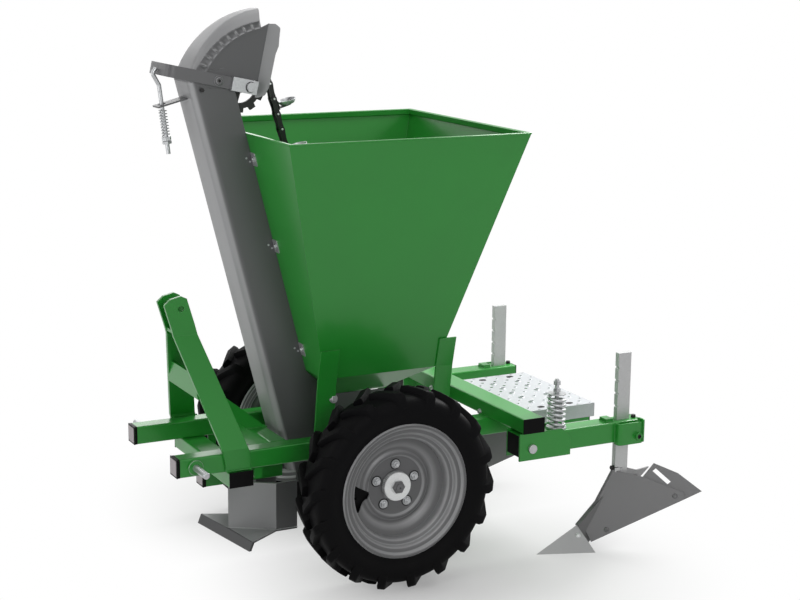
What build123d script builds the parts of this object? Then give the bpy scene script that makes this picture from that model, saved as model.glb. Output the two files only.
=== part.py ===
# Single-row cup-chain potato planter for a tractor's three-point linkage.
# Millimetres, +X forward, +Y to the machine's left, +Z up. While building, the axle stands over X = 0.
import math
import os

from build123d import *

# Shared clearances and allowances
running_fit = 0.05
part_gap = 0.3
cut_margin = 5
turn_samples = 24

# Square tube frame
beam_spacing = 400
beam_size = 60
beam_wall = 4
bearing_height = 55
beam_front = 654
beam_rear = -860
tube_corner = 6
cross_tube_width = 80
cross_tube_height = 50
cross_tube_wall = 4
front_tube_x = 450
front_tube_reach = 244
rear_tube_x = -494
rear_tube_reach = 452
middle_tube_x = 292
carrier_size = 60
carrier_front = 493
carrier_rear = 216
plug_head = 3
plug_depth = 20

# Three-point linkage: mast, strut and lower pins, with heights above the beams' underside
pin_radius = 11
pin_x = 597
pin_reach = 100
pin_collar_radius = 24
pin_collar_width = 8
pin_chamfer = 3
leg_thickness = 12
leg_lower_rise = 73
leg_upper_rise = 403
clevis_gap = 52
clevis_bore_radius = 9.75
clevis_bore_x = 564
clevis_bore_rise = 490
leg_outline = [
    (497, 6), (417, 6), (417, 48), (519, 438), (544, 522),
    (563, 531), (598, 523), (619, 505), (594, 421), (507, 60),
]
spacer_x = (540, 590)
spacer_rise = (411, 421)
tie_x = (540, 550)
tie_rise = (218, 290)
strut_thickness = 12
strut_foot_x = (262, 330)
strut_head_rise = (223, 284)

# Hopper
rim_height = 1421
hopper_rear = -483
hopper_half = 410
hopper_rear_slope = 0.298
hopper_side_slope = 0.245
hopper_wall = 2.5
hopper_fold = 640
mouth_height = 545
mouth_front = 45
mouth_rear = -135
mouth_half = 70
hem_width = 15
hem_drop = 17
bracket_thickness = 6
bracket_top = 740
bracket_bend = 640
bracket_foot_y = 190
front_bracket_x = (110, 176)
rear_bracket_x = (-313, -251)

# Elevator chute, its foot and its hood
chute_lean = 0.26
chute_foot_front = 203.5
chute_depth = 135
chute_half = 74
chute_wall = 3
chute_corner = 16
chute_bottom = 300
chute_top_rise = 162
chute_back_opening = 620
chute_back_rise = 44
foot_thickness = 3
foot_bottom = 262
foot_rear = -138
foot_axle_hole = 24
clip_shares = (0.108, 0.467, 0.91)
clip_inset = 14
clip_length = 46
clip_width = 14
clip_height = 9
hood_rear_back = 57
hood_rise = 379
hood_bulge = 50
hood_corner = 36
hood_fold = ((-71, 187), (-27, -20))
flange_reach = 26
flange_corner = 14
gusset_thickness = 4
gusset_outline = [(73, 61), (145, 51), (155, 15), (125, -3), (80, -3)]

# Chain drive
upper_shaft_rise = 144
upper_shaft_back = 187.4
upper_shaft_radius = 10
upper_shaft_reach = 97
shaft_head_radius = 15
shaft_head_width = 9
chain_pitch_aim = 50.4
sprocket_teeth = 12
drive_tooth_clearance = 0.5
upper_tooth_clearance = 2.5
tooth_depth = 12
tooth_tip_share = 0.18
tooth_root_share = 0.62
sprocket_half = 4
sprocket_hub_radius = 30
sprocket_hub_half = 24
sprocket_holes = 5
sprocket_hole_radius = 15
sprocket_hole_circle = 52
barrel_radius = 5
link_inner = 11
link_outer = 16
link_half = 10
links_per_cup = 3
first_cup_link = 2
cup_radius = 29
cup_offset = 46
cup_depth = 16
cup_wall = 2
cup_foot_half = 6

# Chain tensioner, placed from the upper shaft
yoke_front = (267, 58)
yoke_pivot = (102, 22)
yoke_half_height = 19
yoke_thickness = 6
yoke_inner = 80
yoke_tail = 60
block_rear = -23
block_width = 16
pivot_radius = 6
pivot_head_radius = 13
pivot_head_width = 8
plate_root_rise = 110
plate_reach = 98
plate_half_width = 26
plate_thickness = 5
plate_hole_radius = 13
rod_radius = 6.5
rod_bottom = (237, -206)
rod_knee = (264, 7)
rod_elbow = (285, 44)
rod_bend = 12
rod_nut_radius = 13
rod_nut_height = 11
rod_spring_wire = 4
rod_spring_radius = 11
rod_spring_turns = 9
rod_spring_length = 86

# Ground wheels and axle
axle_height = 327
axle_radius = 17.5
axle_reach = 446
wheel_y = 432
tyre_radius = 327
tyre_shoulder = (314, 60)
tyre_bulge = (260, 74)
tyre_bead = (193, 58)
tyre_flange_top = (215, 61)
tyre_thickness = 13
rim_radius = 213
rim_half = 66
rim_seat = 192
rim_seat_edge = 60
rim_well = 165
rim_well_half = 30
rim_thickness = 3
disc_hole = 48
disc_flat = 110
disc_step = 150
disc_face = -8
disc_thickness = 6
hub_flange_radius = 85
hub_flange_width = 12
hub_sleeve_radius = 32
hub_sleeve_inner = 340
hub_spigot_radius = 47
hub_nose_reach = 441
bolt_count = 5
bolt_circle = 70
bolt_radius = 12
bolt_height = 11
bearing_radius = 36
bearing_half_width = 21
bearing_base_half = 62
bearing_base_height = 14

# Furrow opener
boot_nose_x = 398
boot_bend_x = 265
boot_half = 90
boot_rear_x = 190
boot_bottom = 112
boot_wall = 6
sole_thickness = 6
blade_half = 166
blade_bottom = 82
blade_skew = 0.148
blade_thickness = 8
blade_lean = 12

# Covering units: spring-loaded arms with ridgers behind the wheels
bracket_inset = 2
arm_size = 70
arm_wall = 5
arm_front = -446
arm_rear = -927
arm_drop = 18
arm_plate_gap = 1
arm_pivot_x = -490
arm_pivot_rise = 25
arm_pivot_radius = 10
arm_bush_radius = 16
arm_bolt_head_radius = 15
arm_bolt_head_width = 9
bracket_plate = 6
bracket_outline = [(-443, 60), (-607, 60), (-640, 27), (-640, -32), (-443, -32)]
stop_x = (-638, -578)
stop_thickness = 8
spring_x = -608
spring_seat_height = 7
spring_seat_radius = 34.5
spring_length = 110
spring_radius = 26.5
spring_wire = 9
spring_turns = 5
spring_rod_radius = 7
spring_rod_spare = 51
spring_nut_radius = 13
spring_nut_height = 13
spring_nut_gap = 12
spring_cap_thickness = 3
spring_slot_half = 18
clamp_x = (-914, -821)
clamp_rise = (-5, 69)
clamp_reach = 26
clamp_wall = 7
clamp_corner = 14
clamp_boss_x = -896
clamp_boss_rise = 22
clamp_boss_radius = 13
clamp_boss_height = 12
clamp_screw_radius = 7
lug_x = (-823, -795)
lug_height = 11
lug_half = 20
shank_x = (-895, -845)
shank_half = 10
shank_top = 665
shank_bottom = 140
notch_count = 4
notch_pitch = 45
notch_first = 480
notch_radius = 4

# Ridgers: two wings swept back from a leaning nose, a share in front and two hinged wing ends
nose_low = (-728, 76)
nose_lean = 0.599
wing_angle = 28
wing_thickness = 6
wing_outline = [(0, 0), (0, 212), (123, 185), (285, 128), (300, 102), (58, -64)]
wing_end_outline = [(115, 165), (134, 238), (233, 201), (345, 133), (296, 98), (150, 140)]
wing_slot = [(143, 208), (150, 218), (224, 168), (217, 158)]
inner_end_outline = [(115, 165), (125, 189), (233, 151), (345, 133), (296, 98), (150, 140)]
wing_end_thickness = 5
wing_pivot = (262, 113)
wing_pivot_radius = 6
wing_nut_radius = 11
wing_nut_height = 8
web_half = 10
web_outline = [(-704, 80), (-735, 0), (-790, 60), (-830, 130), (-800, 170)]
shelf_z = (168, 178)
shelf_rear_x = -920
share_tip_x = -545
share_top = (-704, 80)
share_rear_x = -735
share_half = 72

# Step plank
plank_front = -537
plank_rear = -878
plank_half = 234
plank_sheet = 3
plank_skirt = 48
plank_lip = 24
plank_slot_length = 24
plank_slot_width = 11
plank_slot_x = (-680, -796)

# Worked-out heights and lines
beam_bottom = axle_height + bearing_height
beam_top = beam_bottom + beam_size
beam_out = beam_spacing / 2 + beam_size / 2
beam_in = beam_spacing / 2 - beam_size / 2
linkage_height = beam_bottom + beam_size / 2
leg_lower_bend = beam_bottom + leg_lower_rise
leg_upper_bend = beam_bottom + leg_upper_rise
clevis_bore_z = beam_bottom + clevis_bore_rise
chute_run = chute_depth * math.hypot(1, chute_lean)
chute_skin = chute_wall * math.hypot(1, chute_lean)
chute_mitre = chute_wall * math.tan(math.pi / 8)
chute_top = rim_height + chute_top_rise
chute_back_top = rim_height + chute_back_rise
hood_top = rim_height + hood_rise
plate_root_z = rim_height + plate_root_rise
hiller_y = rear_tube_reach - bracket_inset - bracket_plate - arm_plate_gap - arm_size / 2
arm_bottom = beam_bottom - arm_drop
arm_top = arm_bottom + arm_size
arm_pivot_z = arm_bottom + arm_pivot_rise
arm_out = hiller_y + arm_size / 2
arm_in = hiller_y - arm_size / 2


def chute_x(z):
    return chute_foot_front + chute_lean * (z - chute_bottom)


hopper_front = chute_x(rim_height) - chute_run
upper_shaft_z = rim_height + upper_shaft_rise
upper_shaft_x = chute_x(upper_shaft_z) - upper_shaft_back
chain_span = math.hypot(upper_shaft_x, upper_shaft_z - axle_height)
straight_links = round(2 * chain_span / chain_pitch_aim)
chain_links = sprocket_teeth + straight_links
chain_pitch = 2 * chain_span / straight_links
pitch_radius = sprocket_teeth * chain_pitch / (2 * math.pi)


def from_shaft(offset):
    return upper_shaft_x + offset[0], upper_shaft_z + offset[1]


def over_beam(outline):
    return [(x, beam_bottom + rise) for x, rise in outline]


def heights(rises, base):
    return tuple(base + rise for rise in rises)


def block(x, y, z):
    spans = (x, y, z)
    middle = [(low + high) / 2 for low, high in spans]
    return Pos(*middle) * Box(*[high - low for low, high in spans])


def prism(axis, outline, start, end):
    order = {"x": (2, 0, 1), "y": (0, 2, 1), "z": (0, 1, 2)}[axis]
    corners = [tuple((a, b, start)[i] for i in order) for a, b in outline]
    heading = {"x": (1, 0, 0), "y": (0, 1, 0), "z": (0, 0, 1)}[axis]
    face = Face(Wire.make_polygon(corners, close=True))
    return extrude(face, amount=end - start, dir=heading)


def panel(corners, push):
    face = Face(Wire.make_polygon(corners, close=True))
    return extrude(face, amount=Vector(push).length, dir=push)


def bar(start, end, half, y0, y1):
    length = math.dist(start, end)
    side_x = -(end[1] - start[1]) / length * half
    side_z = (end[0] - start[0]) / length * half
    outline = [
        (start[0] + side_x, start[1] + side_z), (end[0] + side_x, end[1] + side_z),
        (end[0] - side_x, end[1] - side_z), (start[0] - side_x, start[1] - side_z),
    ]
    return prism("y", outline, y0, y1)


def pin(x, z, radius, y0, y1):
    return Pos(x, (y0 + y1) / 2, z) * Rot(90, 0, 0) * Cylinder(radius, y1 - y0)


def post(x, y, radius, z0, z1):
    return Pos(x, y, (z0 + z1) / 2) * Cylinder(radius, z1 - z0)


def hex_post(x, y, radius, z0, z1):
    return extrude(Pos(x, y, z0) * RegularPolygon(radius, 6), amount=z1 - z0)


def rod(start, end, radius):
    along = Vector(*end) - Vector(*start)
    return Plane(origin=start, z_dir=along) * Pos(0, 0, along.length / 2) * Cylinder(radius, along.length)


def turned(profile):
    face = Face(Wire.make_polygon([(r, y, 0) for r, y in profile], close=True))
    return Pos(0, 0, axle_height) * revolve(face, Axis.Y, 360)


def mirrored(shape):
    return mirror(shape, about=Plane.XZ)


def group(shapes):
    return Compound([solid for shape in shapes for solid in shape.solids()])


def both_sides(shape):
    return group([shape, mirrored(shape)])


def tube(spans, wall, axis):
    along = (Axis.X, Axis.Y, Axis.Z)[axis]
    outer = fillet(block(*spans).edges().filter_by(along), tube_corner)
    bore = [(low + wall, high - wall) for low, high in spans]
    bore[axis] = (spans[axis][0] - cut_margin, spans[axis][1] + cut_margin)
    return outer - block(*bore)


def plug(spans, wall, axis, end):
    face = spans[axis][1] if end > 0 else spans[axis][0]
    head = list(spans)
    head[axis] = sorted((face, face + end * plug_head))
    stem = [(low + wall + part_gap, high - wall - part_gap) for low, high in spans]
    stem[axis] = sorted((face, face - end * plug_depth))
    return block(*head) + block(*stem)


def spring(foot, head, radius, wire, turns):
    axis = Vector(*head) - Vector(*foot)
    frame = Plane(origin=foot, z_dir=axis)
    rise = (axis.length - wire) / turns

    def point(turn):
        angle = 2 * math.pi * turn
        local = Vector(radius * math.cos(angle), radius * math.sin(angle), wire / 2 + rise * turn)
        return frame.from_local_coords(local)

    def heading(turn):
        angle = 2 * math.pi * turn
        sweep = 2 * math.pi * radius
        local = Vector(-sweep * math.sin(angle), sweep * math.cos(angle), rise)
        return (frame.from_local_coords(local) - frame.origin).normalized()

    edges = []
    for quarter in range(4 * turns):
        p0, p1 = point(quarter / 4), point((quarter + 1) / 4)
        t0, t1 = heading(quarter / 4), heading((quarter + 1) / 4)
        chord, both = p1 - p0, t0 + t1
        bend = 2 * (1 - t0.dot(t1))
        reach = (math.sqrt(chord.dot(both) ** 2 + bend * chord.dot(chord)) - chord.dot(both)) / bend
        joint = (p0 + p1 + (t0 - t1) * reach) * 0.5
        middle = ((p1 - t1 * reach) - (p0 + t0 * reach)).normalized()
        edges.append(Edge.make_tangent_arc(p0, t0, joint))
        edges.append(Edge.make_tangent_arc(joint, middle, p1))
    steps = [point(i / turn_samples) for i in range(turn_samples * turns + 1)]
    pairs = ((a, b) for a in range(len(steps)) for b in range(a + turn_samples // 2, len(steps)))
    least = min((steps[a] - steps[b]).length for a, b in pairs) - wire
    print("spring of", turns, "turns: least gap to itself", round(least, 2), "mm")
    return sweep(Plane(origin=point(0), z_dir=heading(0)) * Circle(wire / 2), path=Wire(edges))


# Frame tubes and their end plugs
beam_span = [(beam_rear, beam_front), (beam_in, beam_out), (beam_bottom, beam_top)]
front_span = [
    (front_tube_x - cross_tube_width / 2, front_tube_x + cross_tube_width / 2),
    (-front_tube_reach, front_tube_reach), (beam_bottom - cross_tube_height, beam_bottom),
]
rear_span = [
    (rear_tube_x - cross_tube_width / 2, rear_tube_x + cross_tube_width / 2),
    (-rear_tube_reach, rear_tube_reach), (beam_top, beam_top + cross_tube_height),
]
middle_span = [
    (middle_tube_x - beam_size / 2, middle_tube_x + beam_size / 2),
    (-beam_in, beam_in), (beam_bottom, beam_top),
]
carrier_top = beam_bottom - cross_tube_height
carrier_span = [
    (carrier_rear, carrier_front), (-carrier_size / 2, carrier_size / 2),
    (carrier_top - carrier_size, carrier_top),
]


def make_plugs():
    plugs = [
        plug(beam_span, beam_wall, 0, 1), plug(beam_span, beam_wall, 0, -1),
        plug(front_span, cross_tube_wall, 1, 1), plug(rear_span, cross_tube_wall, 1, 1),
    ]
    plugs += [mirrored(one) for one in plugs]
    plugs.append(plug(carrier_span, beam_wall, 0, 1))
    return group(plugs)


# Linkage
def make_lower_pin():
    tip = beam_out + pin_reach
    shaft = pin(pin_x, linkage_height, pin_radius, beam_out, tip)
    shaft = chamfer(shaft.edges().sort_by(Axis.Y)[-1], pin_chamfer)
    return shaft + pin(pin_x, linkage_height, pin_collar_radius, beam_out, beam_out + pin_collar_width)


leg_out = beam_out + leg_thickness
clevis_out = clevis_gap / 2 + leg_thickness
leg_slope = (leg_out - clevis_out) / (leg_upper_bend - leg_lower_bend)
leg_shift = leg_thickness * math.tan(math.atan(leg_slope) / 2)


def leg_inner(z):
    return leg_out + leg_slope * (leg_lower_bend - z) - leg_thickness * math.hypot(1, leg_slope)


def make_leg():
    outline = over_beam(leg_outline)
    top = max(z for x, z in outline) + cut_margin
    bottom = min(z for x, z in outline) - cut_margin
    bent = [
        (leg_out, bottom), (leg_out, leg_lower_bend), (clevis_out, leg_upper_bend), (clevis_out, top),
        (clevis_gap / 2, top), (clevis_gap / 2, leg_upper_bend - leg_shift),
        (beam_out, leg_lower_bend - leg_shift), (beam_out, bottom),
    ]
    reach = [x for x, z in leg_outline]
    band = prism("x", bent, min(reach) - cut_margin, max(reach) + cut_margin)
    leg = band & prism("y", outline, 0, leg_out + cut_margin)
    return leg - pin(clevis_bore_x, clevis_bore_z, clevis_bore_radius, 0, leg_out)


def make_mast_ties():
    spacer = block(spacer_x, (-clevis_gap / 2, clevis_gap / 2), heights(spacer_rise, beam_bottom))
    low, high = heights(tie_rise, beam_bottom)
    outline = [(leg_inner(low), low), (leg_inner(high), high),
               (-leg_inner(high), high), (-leg_inner(low), low)]
    return group([spacer, prism("x", outline, *tie_x)])


def make_strut():
    low, high = heights(strut_head_rise, beam_bottom)
    outline = [(strut_foot_x[0], beam_top), (strut_foot_x[1], beam_top), (tie_x[0], low), (tie_x[0], high)]
    return prism("y", outline, -strut_thickness / 2, strut_thickness / 2)


# Hopper and its brackets
def hopper_section(z, inset):
    drop = rim_height - z
    front = hopper_front - chute_lean * drop - inset
    rear = hopper_rear + hopper_rear_slope * drop + inset
    return front, rear, hopper_half - hopper_side_slope * drop - inset, z


def mouth_section(inset):
    return mouth_front - inset, mouth_rear + inset, mouth_half - inset, mouth_height


def taper(low, high):
    sections = []
    for front, rear, half, z in (low, high):
        sections.append(Pos((front + rear) / 2, 0, z) * Rectangle(front - rear, 2 * half))
    return loft(sections, ruled=True)


def rim_ring(outer, inner, z):
    def slab(inset):
        half = hopper_half - inset
        return block((hopper_rear + inset, hopper_front - inset), (-half, half), z)
    return slab(outer) - slab(inner)


def make_hopper():
    skin = taper(hopper_section(hopper_fold, 0), hopper_section(rim_height, 0))
    skin += taper(mouth_section(0), hopper_section(hopper_fold, 0))
    inner_fold = hopper_section(hopper_fold, hopper_wall)
    room = taper(inner_fold, hopper_section(rim_height + cut_margin, hopper_wall))
    room += taper(mouth_section(hopper_wall), inner_fold)
    front, rear, half, z = mouth_section(hopper_wall)
    room += block((rear, front), (-half, half), (z - cut_margin, z + hopper_wall / 2))
    flange = rim_ring(hopper_wall * chute_lean, hem_width, (rim_height - hopper_wall, rim_height))
    lip = rim_ring(hem_width - hopper_wall, hem_width, (rim_height - hem_drop, rim_height))
    return skin - room + flange + lip


def make_hopper_bracket(x):
    top_y = hopper_section(bracket_top, 0)[2]
    bend_y = hopper_section(bracket_bend, 0)[2]
    outline = [
        (bracket_foot_y, beam_top), (bend_y, bracket_bend), (top_y, bracket_top),
        (top_y + bracket_thickness, bracket_top), (bend_y + bracket_thickness, bracket_bend),
        (bracket_foot_y + bracket_thickness, beam_top),
    ]
    return prism("x", outline, *x)


def make_hopper_brackets():
    pair = [make_hopper_bracket(x) for x in (front_bracket_x, rear_bracket_x)]
    return group(pair + [mirrored(one) for one in pair])


# Chute, foot plates, clips and hood
chute_inner = chute_half - chute_wall
chute_flat = chute_half - chute_corner


def chute_wall_sheet(section, bottom, top):
    corners = [(chute_x(bottom) - depth, y, bottom) for depth, y in section]
    return panel(corners, (chute_lean * (top - bottom), 0, top - bottom))


def make_chute():
    bend, flat = chute_corner + chute_mitre, chute_flat - chute_mitre
    rear = chute_run - chute_skin
    front = [(0, -chute_flat), (0, chute_flat), (chute_skin, flat), (chute_skin, -flat)]
    corner = [(0, chute_flat), (chute_corner, chute_half), (bend, chute_inner), (chute_skin, flat)]
    side = [(chute_corner, chute_half), (chute_run, chute_half), (chute_run, chute_inner),
            (bend, chute_inner)]
    back = [(rear, -chute_inner), (rear, chute_inner), (chute_run, chute_inner), (chute_run, -chute_inner)]
    halves = [chute_wall_sheet(section, chute_bottom, chute_top) for section in (corner, side)]
    whole = [chute_wall_sheet(front, chute_bottom, chute_top),
             chute_wall_sheet(back, chute_back_opening, chute_back_top)]
    return group(whole + halves + [mirrored(half) for half in halves])


def make_foot_plate():
    top = hopper_fold - cut_margin
    under = mouth_height - part_gap
    low_front = chute_x(chute_bottom) - chute_corner
    outline = [
        (low_front, foot_bottom), (low_front, chute_bottom), (chute_x(top) - chute_corner, top),
        (chute_x(top) - chute_run, top), (mouth_front, under), (foot_rear, under), (foot_rear, foot_bottom),
    ]
    plate = prism("y", outline, chute_half, chute_half + foot_thickness)
    return plate - pin(0, axle_height, foot_axle_hole, chute_half, chute_half + foot_thickness)


def make_clips():
    clips = []
    for share in clip_shares:
        z = rim_height - share * (rim_height - hopper_fold)
        middle = chute_x(z) - chute_run + clip_inset
        start = (middle - chute_lean * clip_length / 2, z - clip_length / 2)
        end = (middle + chute_lean * clip_length / 2, z + clip_length / 2)
        clips.append(bar(start, end, clip_width / 2, chute_half, chute_half + clip_height))
    return group(clips + [mirrored(clip) for clip in clips])


hood_rear = upper_shaft_x - hood_rear_back
hood_front = (chute_x(chute_top), chute_top)
hood_back = (hood_rear, hood_top)
hood_chord = math.dist(hood_front, hood_back)
hood_radius = hood_chord ** 2 / (8 * hood_bulge) + hood_bulge / 2
hood_out = ((hood_top - chute_top) / hood_chord, (hood_front[0] - hood_rear) / hood_chord)
hood_middle = ((hood_front[0] + hood_rear) / 2, (chute_top + hood_top) / 2)
hood_peak = (hood_middle[0] + hood_bulge * hood_out[0], hood_middle[1] + hood_bulge * hood_out[1])
hood_centre = (hood_peak[0] - hood_radius * hood_out[0], hood_peak[1] - hood_radius * hood_out[1])
pivot_point = from_shaft(yoke_pivot)


def fold_x(z):
    (top_x, top_z), (low_x, low_z) = [from_shaft(point) for point in hood_fold]
    return top_x + (low_x - top_x) * (top_z - z) / (top_z - low_z)


def make_hood_cover():
    bend = hood_radius - hood_corner
    flat = chute_half - hood_corner
    half = [(hood_radius, flat), (bend, chute_half), (bend - chute_mitre, chute_inner),
            (hood_radius - chute_wall, flat - chute_mitre)]
    profile = half + [(r, -y) for r, y in reversed(half)]
    face = Face(Wire.make_polygon([(r, y, 0) for r, y in profile], close=True))
    ring = Pos(hood_centre[0], 0, hood_centre[1]) * revolve(face, Axis.Y, 360)
    return ring & block((hood_rear, hood_front[0] + hood_radius), (-chute_half, chute_half),
                        (chute_top, hood_top + cut_margin))


def make_hood_flange():
    (top_x, top_z), (low_x, low_z) = [from_shaft(point) for point in hood_fold]
    root = chute_inner + chute_wall / 2
    cut = flange_corner / math.dist((top_x, top_z), (low_x, low_z))
    cut_x, cut_z = (low_x - top_x) * cut, (low_z - top_z) * cut
    short = flange_reach - flange_corner
    corners = [
        (top_x, root, top_z), (low_x, root, low_z), (low_x - short, root + short, low_z),
        (low_x - flange_reach - cut_x, root + flange_reach, low_z - cut_z),
        (top_x - flange_reach + cut_x, root + flange_reach, top_z + cut_z),
        (top_x - short, root + short, top_z),
    ]
    return panel(corners, (chute_wall / 2, chute_wall / 2, 0))


def make_hood():
    reach = hood_front[0] + hood_radius
    outline = [(fold_x(chute_top), chute_top), (reach, chute_top), (reach, hood_top),
               (fold_x(hood_top), hood_top)]
    side = prism("y", outline, chute_inner, chute_half)
    side &= pin(*hood_centre, hood_radius - hood_corner, chute_inner, chute_half)
    side += make_hood_flange()
    gusset = prism("y", [from_shaft(p) for p in gusset_outline], chute_half, chute_half + gusset_thickness)
    side += gusset - pin(*pivot_point, pivot_radius + running_fit, chute_half, yoke_inner)
    return make_hood_cover() + side + mirrored(side)


# Chain, cups and sprockets
chain_up = (upper_shaft_x / chain_span, (upper_shaft_z - axle_height) / chain_span)
chain_back = (-chain_up[1], chain_up[0])
drive_first_tooth = math.atan2(chain_back[1], chain_back[0])
upper_first_tooth = drive_first_tooth - 2 * math.pi * (chain_span / chain_pitch % 1) / sprocket_teeth


def chain_point(distance):
    half_turn = math.pi * pitch_radius
    distance = distance % (2 * (chain_span + half_turn))
    rising = distance < chain_span + half_turn
    side = 1 if rising else -1
    run = distance if rising else distance - chain_span - half_turn
    start = (0, axle_height) if rising else (upper_shaft_x, upper_shaft_z)
    straight = min(run, chain_span)
    turn = max(run - chain_span, 0) / pitch_radius
    out, ahead = pitch_radius * math.cos(turn), pitch_radius * math.sin(turn) + straight
    return tuple(start[i] + side * (out * chain_back[i] + ahead * chain_up[i]) for i in (0, 1))


def link_frame(index):
    start, end = chain_point(index * chain_pitch), chain_point((index + 1) * chain_pitch)
    length = math.dist(start, end)
    ahead = ((end[0] - start[0]) / length, (end[1] - start[1]) / length)
    return start, ahead, length


def make_link(index):
    start, ahead, length = link_frame(index)
    reach = length - barrel_radius - part_gap
    end = (start[0] + ahead[0] * reach, start[1] + ahead[1] * reach)
    link = pin(*start, barrel_radius, -link_outer, link_outer)
    return link + bar(start, end, link_half, link_inner, link_outer) + bar(
        start, end, link_half, -link_outer, -link_inner)


def make_cup(index):
    start, ahead, length = link_frame(index)
    out = (-ahead[1], ahead[0])

    def local(along, away):
        return tuple(start[i] + ahead[i] * along + out[i] * away for i in (0, 1))

    middle = length / 2
    foot = bar(local(middle, link_half), local(middle, cup_offset - cup_radius + cup_wall), cup_foot_half,
               -link_outer, link_outer)
    base = local(middle - cup_depth / 2, cup_offset)
    tip = local(middle + cup_depth / 2, cup_offset)
    floor = local(middle - cup_depth / 2 + cup_wall, cup_offset)
    over = local(middle + cup_depth, cup_offset)
    bowl = rod((base[0], 0, base[1]), (tip[0], 0, tip[1]), cup_radius)
    return foot + bowl - rod((floor[0], 0, floor[1]), (over[0], 0, over[1]), cup_radius - cup_wall)


def make_sprocket(x, z, bore, tooth_clearance, first_tooth):
    tip_radius = pitch_radius - barrel_radius - tooth_clearance
    outline = []
    for tooth in range(sprocket_teeth):
        for share, radius in (
            (-tooth_root_share / 2, tip_radius - tooth_depth), (-tooth_tip_share / 2, tip_radius),
            (tooth_tip_share / 2, tip_radius), (tooth_root_share / 2, tip_radius - tooth_depth),
        ):
            angle = 2 * math.pi * (tooth + share) / sprocket_teeth + first_tooth
            outline.append((x + radius * math.cos(angle), z + radius * math.sin(angle)))
    wheel = prism("y", outline, -sprocket_half, sprocket_half)
    for hole in range(sprocket_holes):
        angle = 2 * math.pi * hole / sprocket_holes
        hole_x = x + sprocket_hole_circle * math.cos(angle)
        hole_z = z + sprocket_hole_circle * math.sin(angle)
        wheel -= pin(hole_x, hole_z, sprocket_hole_radius, -sprocket_half, sprocket_half)
    wheel += pin(x, z, sprocket_hub_radius, -sprocket_hub_half, sprocket_hub_half)
    return wheel - pin(x, z, bore, -sprocket_hub_half, sprocket_hub_half)


# Tensioner yoke, bearing blocks, spring rod and its plate
yoke_slope = yoke_front[1] / yoke_front[0]
yoke_outer = yoke_inner + yoke_thickness


def yoke_line(ahead):
    return from_shaft((ahead, yoke_slope * ahead))


def make_yoke():
    leg = bar(yoke_line(yoke_tail), yoke_line(yoke_front[0]), yoke_half_height, yoke_inner, yoke_outer)
    leg -= pin(*pivot_point, pivot_radius + running_fit, yoke_inner, yoke_outer)
    nose = bar(yoke_line(yoke_front[0] - yoke_thickness), yoke_line(yoke_front[0]), yoke_half_height,
               -yoke_outer, yoke_outer)
    return leg + mirrored(leg) + nose


def make_bearing_block():
    body = bar(yoke_line(block_rear), yoke_line(yoke_tail), yoke_half_height + plate_thickness / 2,
               yoke_inner, yoke_inner + block_width)
    return body - pin(upper_shaft_x, upper_shaft_z, upper_shaft_radius + running_fit, yoke_inner,
                      yoke_inner + block_width)


def make_upper_shaft():
    shaft = pin(upper_shaft_x, upper_shaft_z, upper_shaft_radius, -upper_shaft_reach, upper_shaft_reach)
    start = yoke_inner + block_width + part_gap
    head = pin(upper_shaft_x, upper_shaft_z, shaft_head_radius, start, start + shaft_head_width)
    return shaft + head + mirrored(head)


def make_pivot_bolt():
    start = yoke_outer + part_gap
    bolt = pin(*pivot_point, pivot_radius, chute_half, start)
    return bolt + pin(*pivot_point, pivot_head_radius, start, start + pivot_head_width)


def rod_at(z):
    foot, knee = from_shaft(rod_bottom), from_shaft(rod_knee)
    share = (z - foot[1]) / (knee[1] - foot[1])
    return foot[0] + share * (knee[0] - foot[0]), 0, z


plate_tip = (chute_x(plate_root_z) + plate_reach, plate_root_z - chute_lean * plate_reach)
plate_under = plate_root_z - chute_lean * (rod_at(plate_root_z)[0] - chute_x(plate_root_z)) - plate_thickness
rod_spring_top = plate_under - rod_radius
rod_spring_foot = rod_spring_top - rod_spring_length


def make_tension_plate():
    plate = bar((chute_x(plate_root_z), plate_root_z), plate_tip, plate_thickness / 2,
                -plate_half_width, plate_half_width)
    hole_reach = plate_thickness + plate_hole_radius
    return plate - rod(rod_at(plate_under - hole_reach), rod_at(plate_under + hole_reach), plate_hole_radius)


def make_tension_rod():
    corners = [from_shaft(rod_bottom), from_shaft(rod_knee), from_shaft(rod_elbow),
               yoke_line(yoke_front[0] + rod_radius)]
    points = [(x, 0, z) for x, z in corners]
    path = FilletPolyline(*points, radius=rod_bend)
    heading = Vector(*points[1]) - Vector(*points[0])
    wire = sweep(Plane(origin=points[0], z_dir=heading) * Circle(rod_radius), path=path)
    nut = rod(rod_at(rod_spring_foot - rod_nut_height), rod_at(rod_spring_foot), rod_nut_radius)
    return wire + nut


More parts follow.
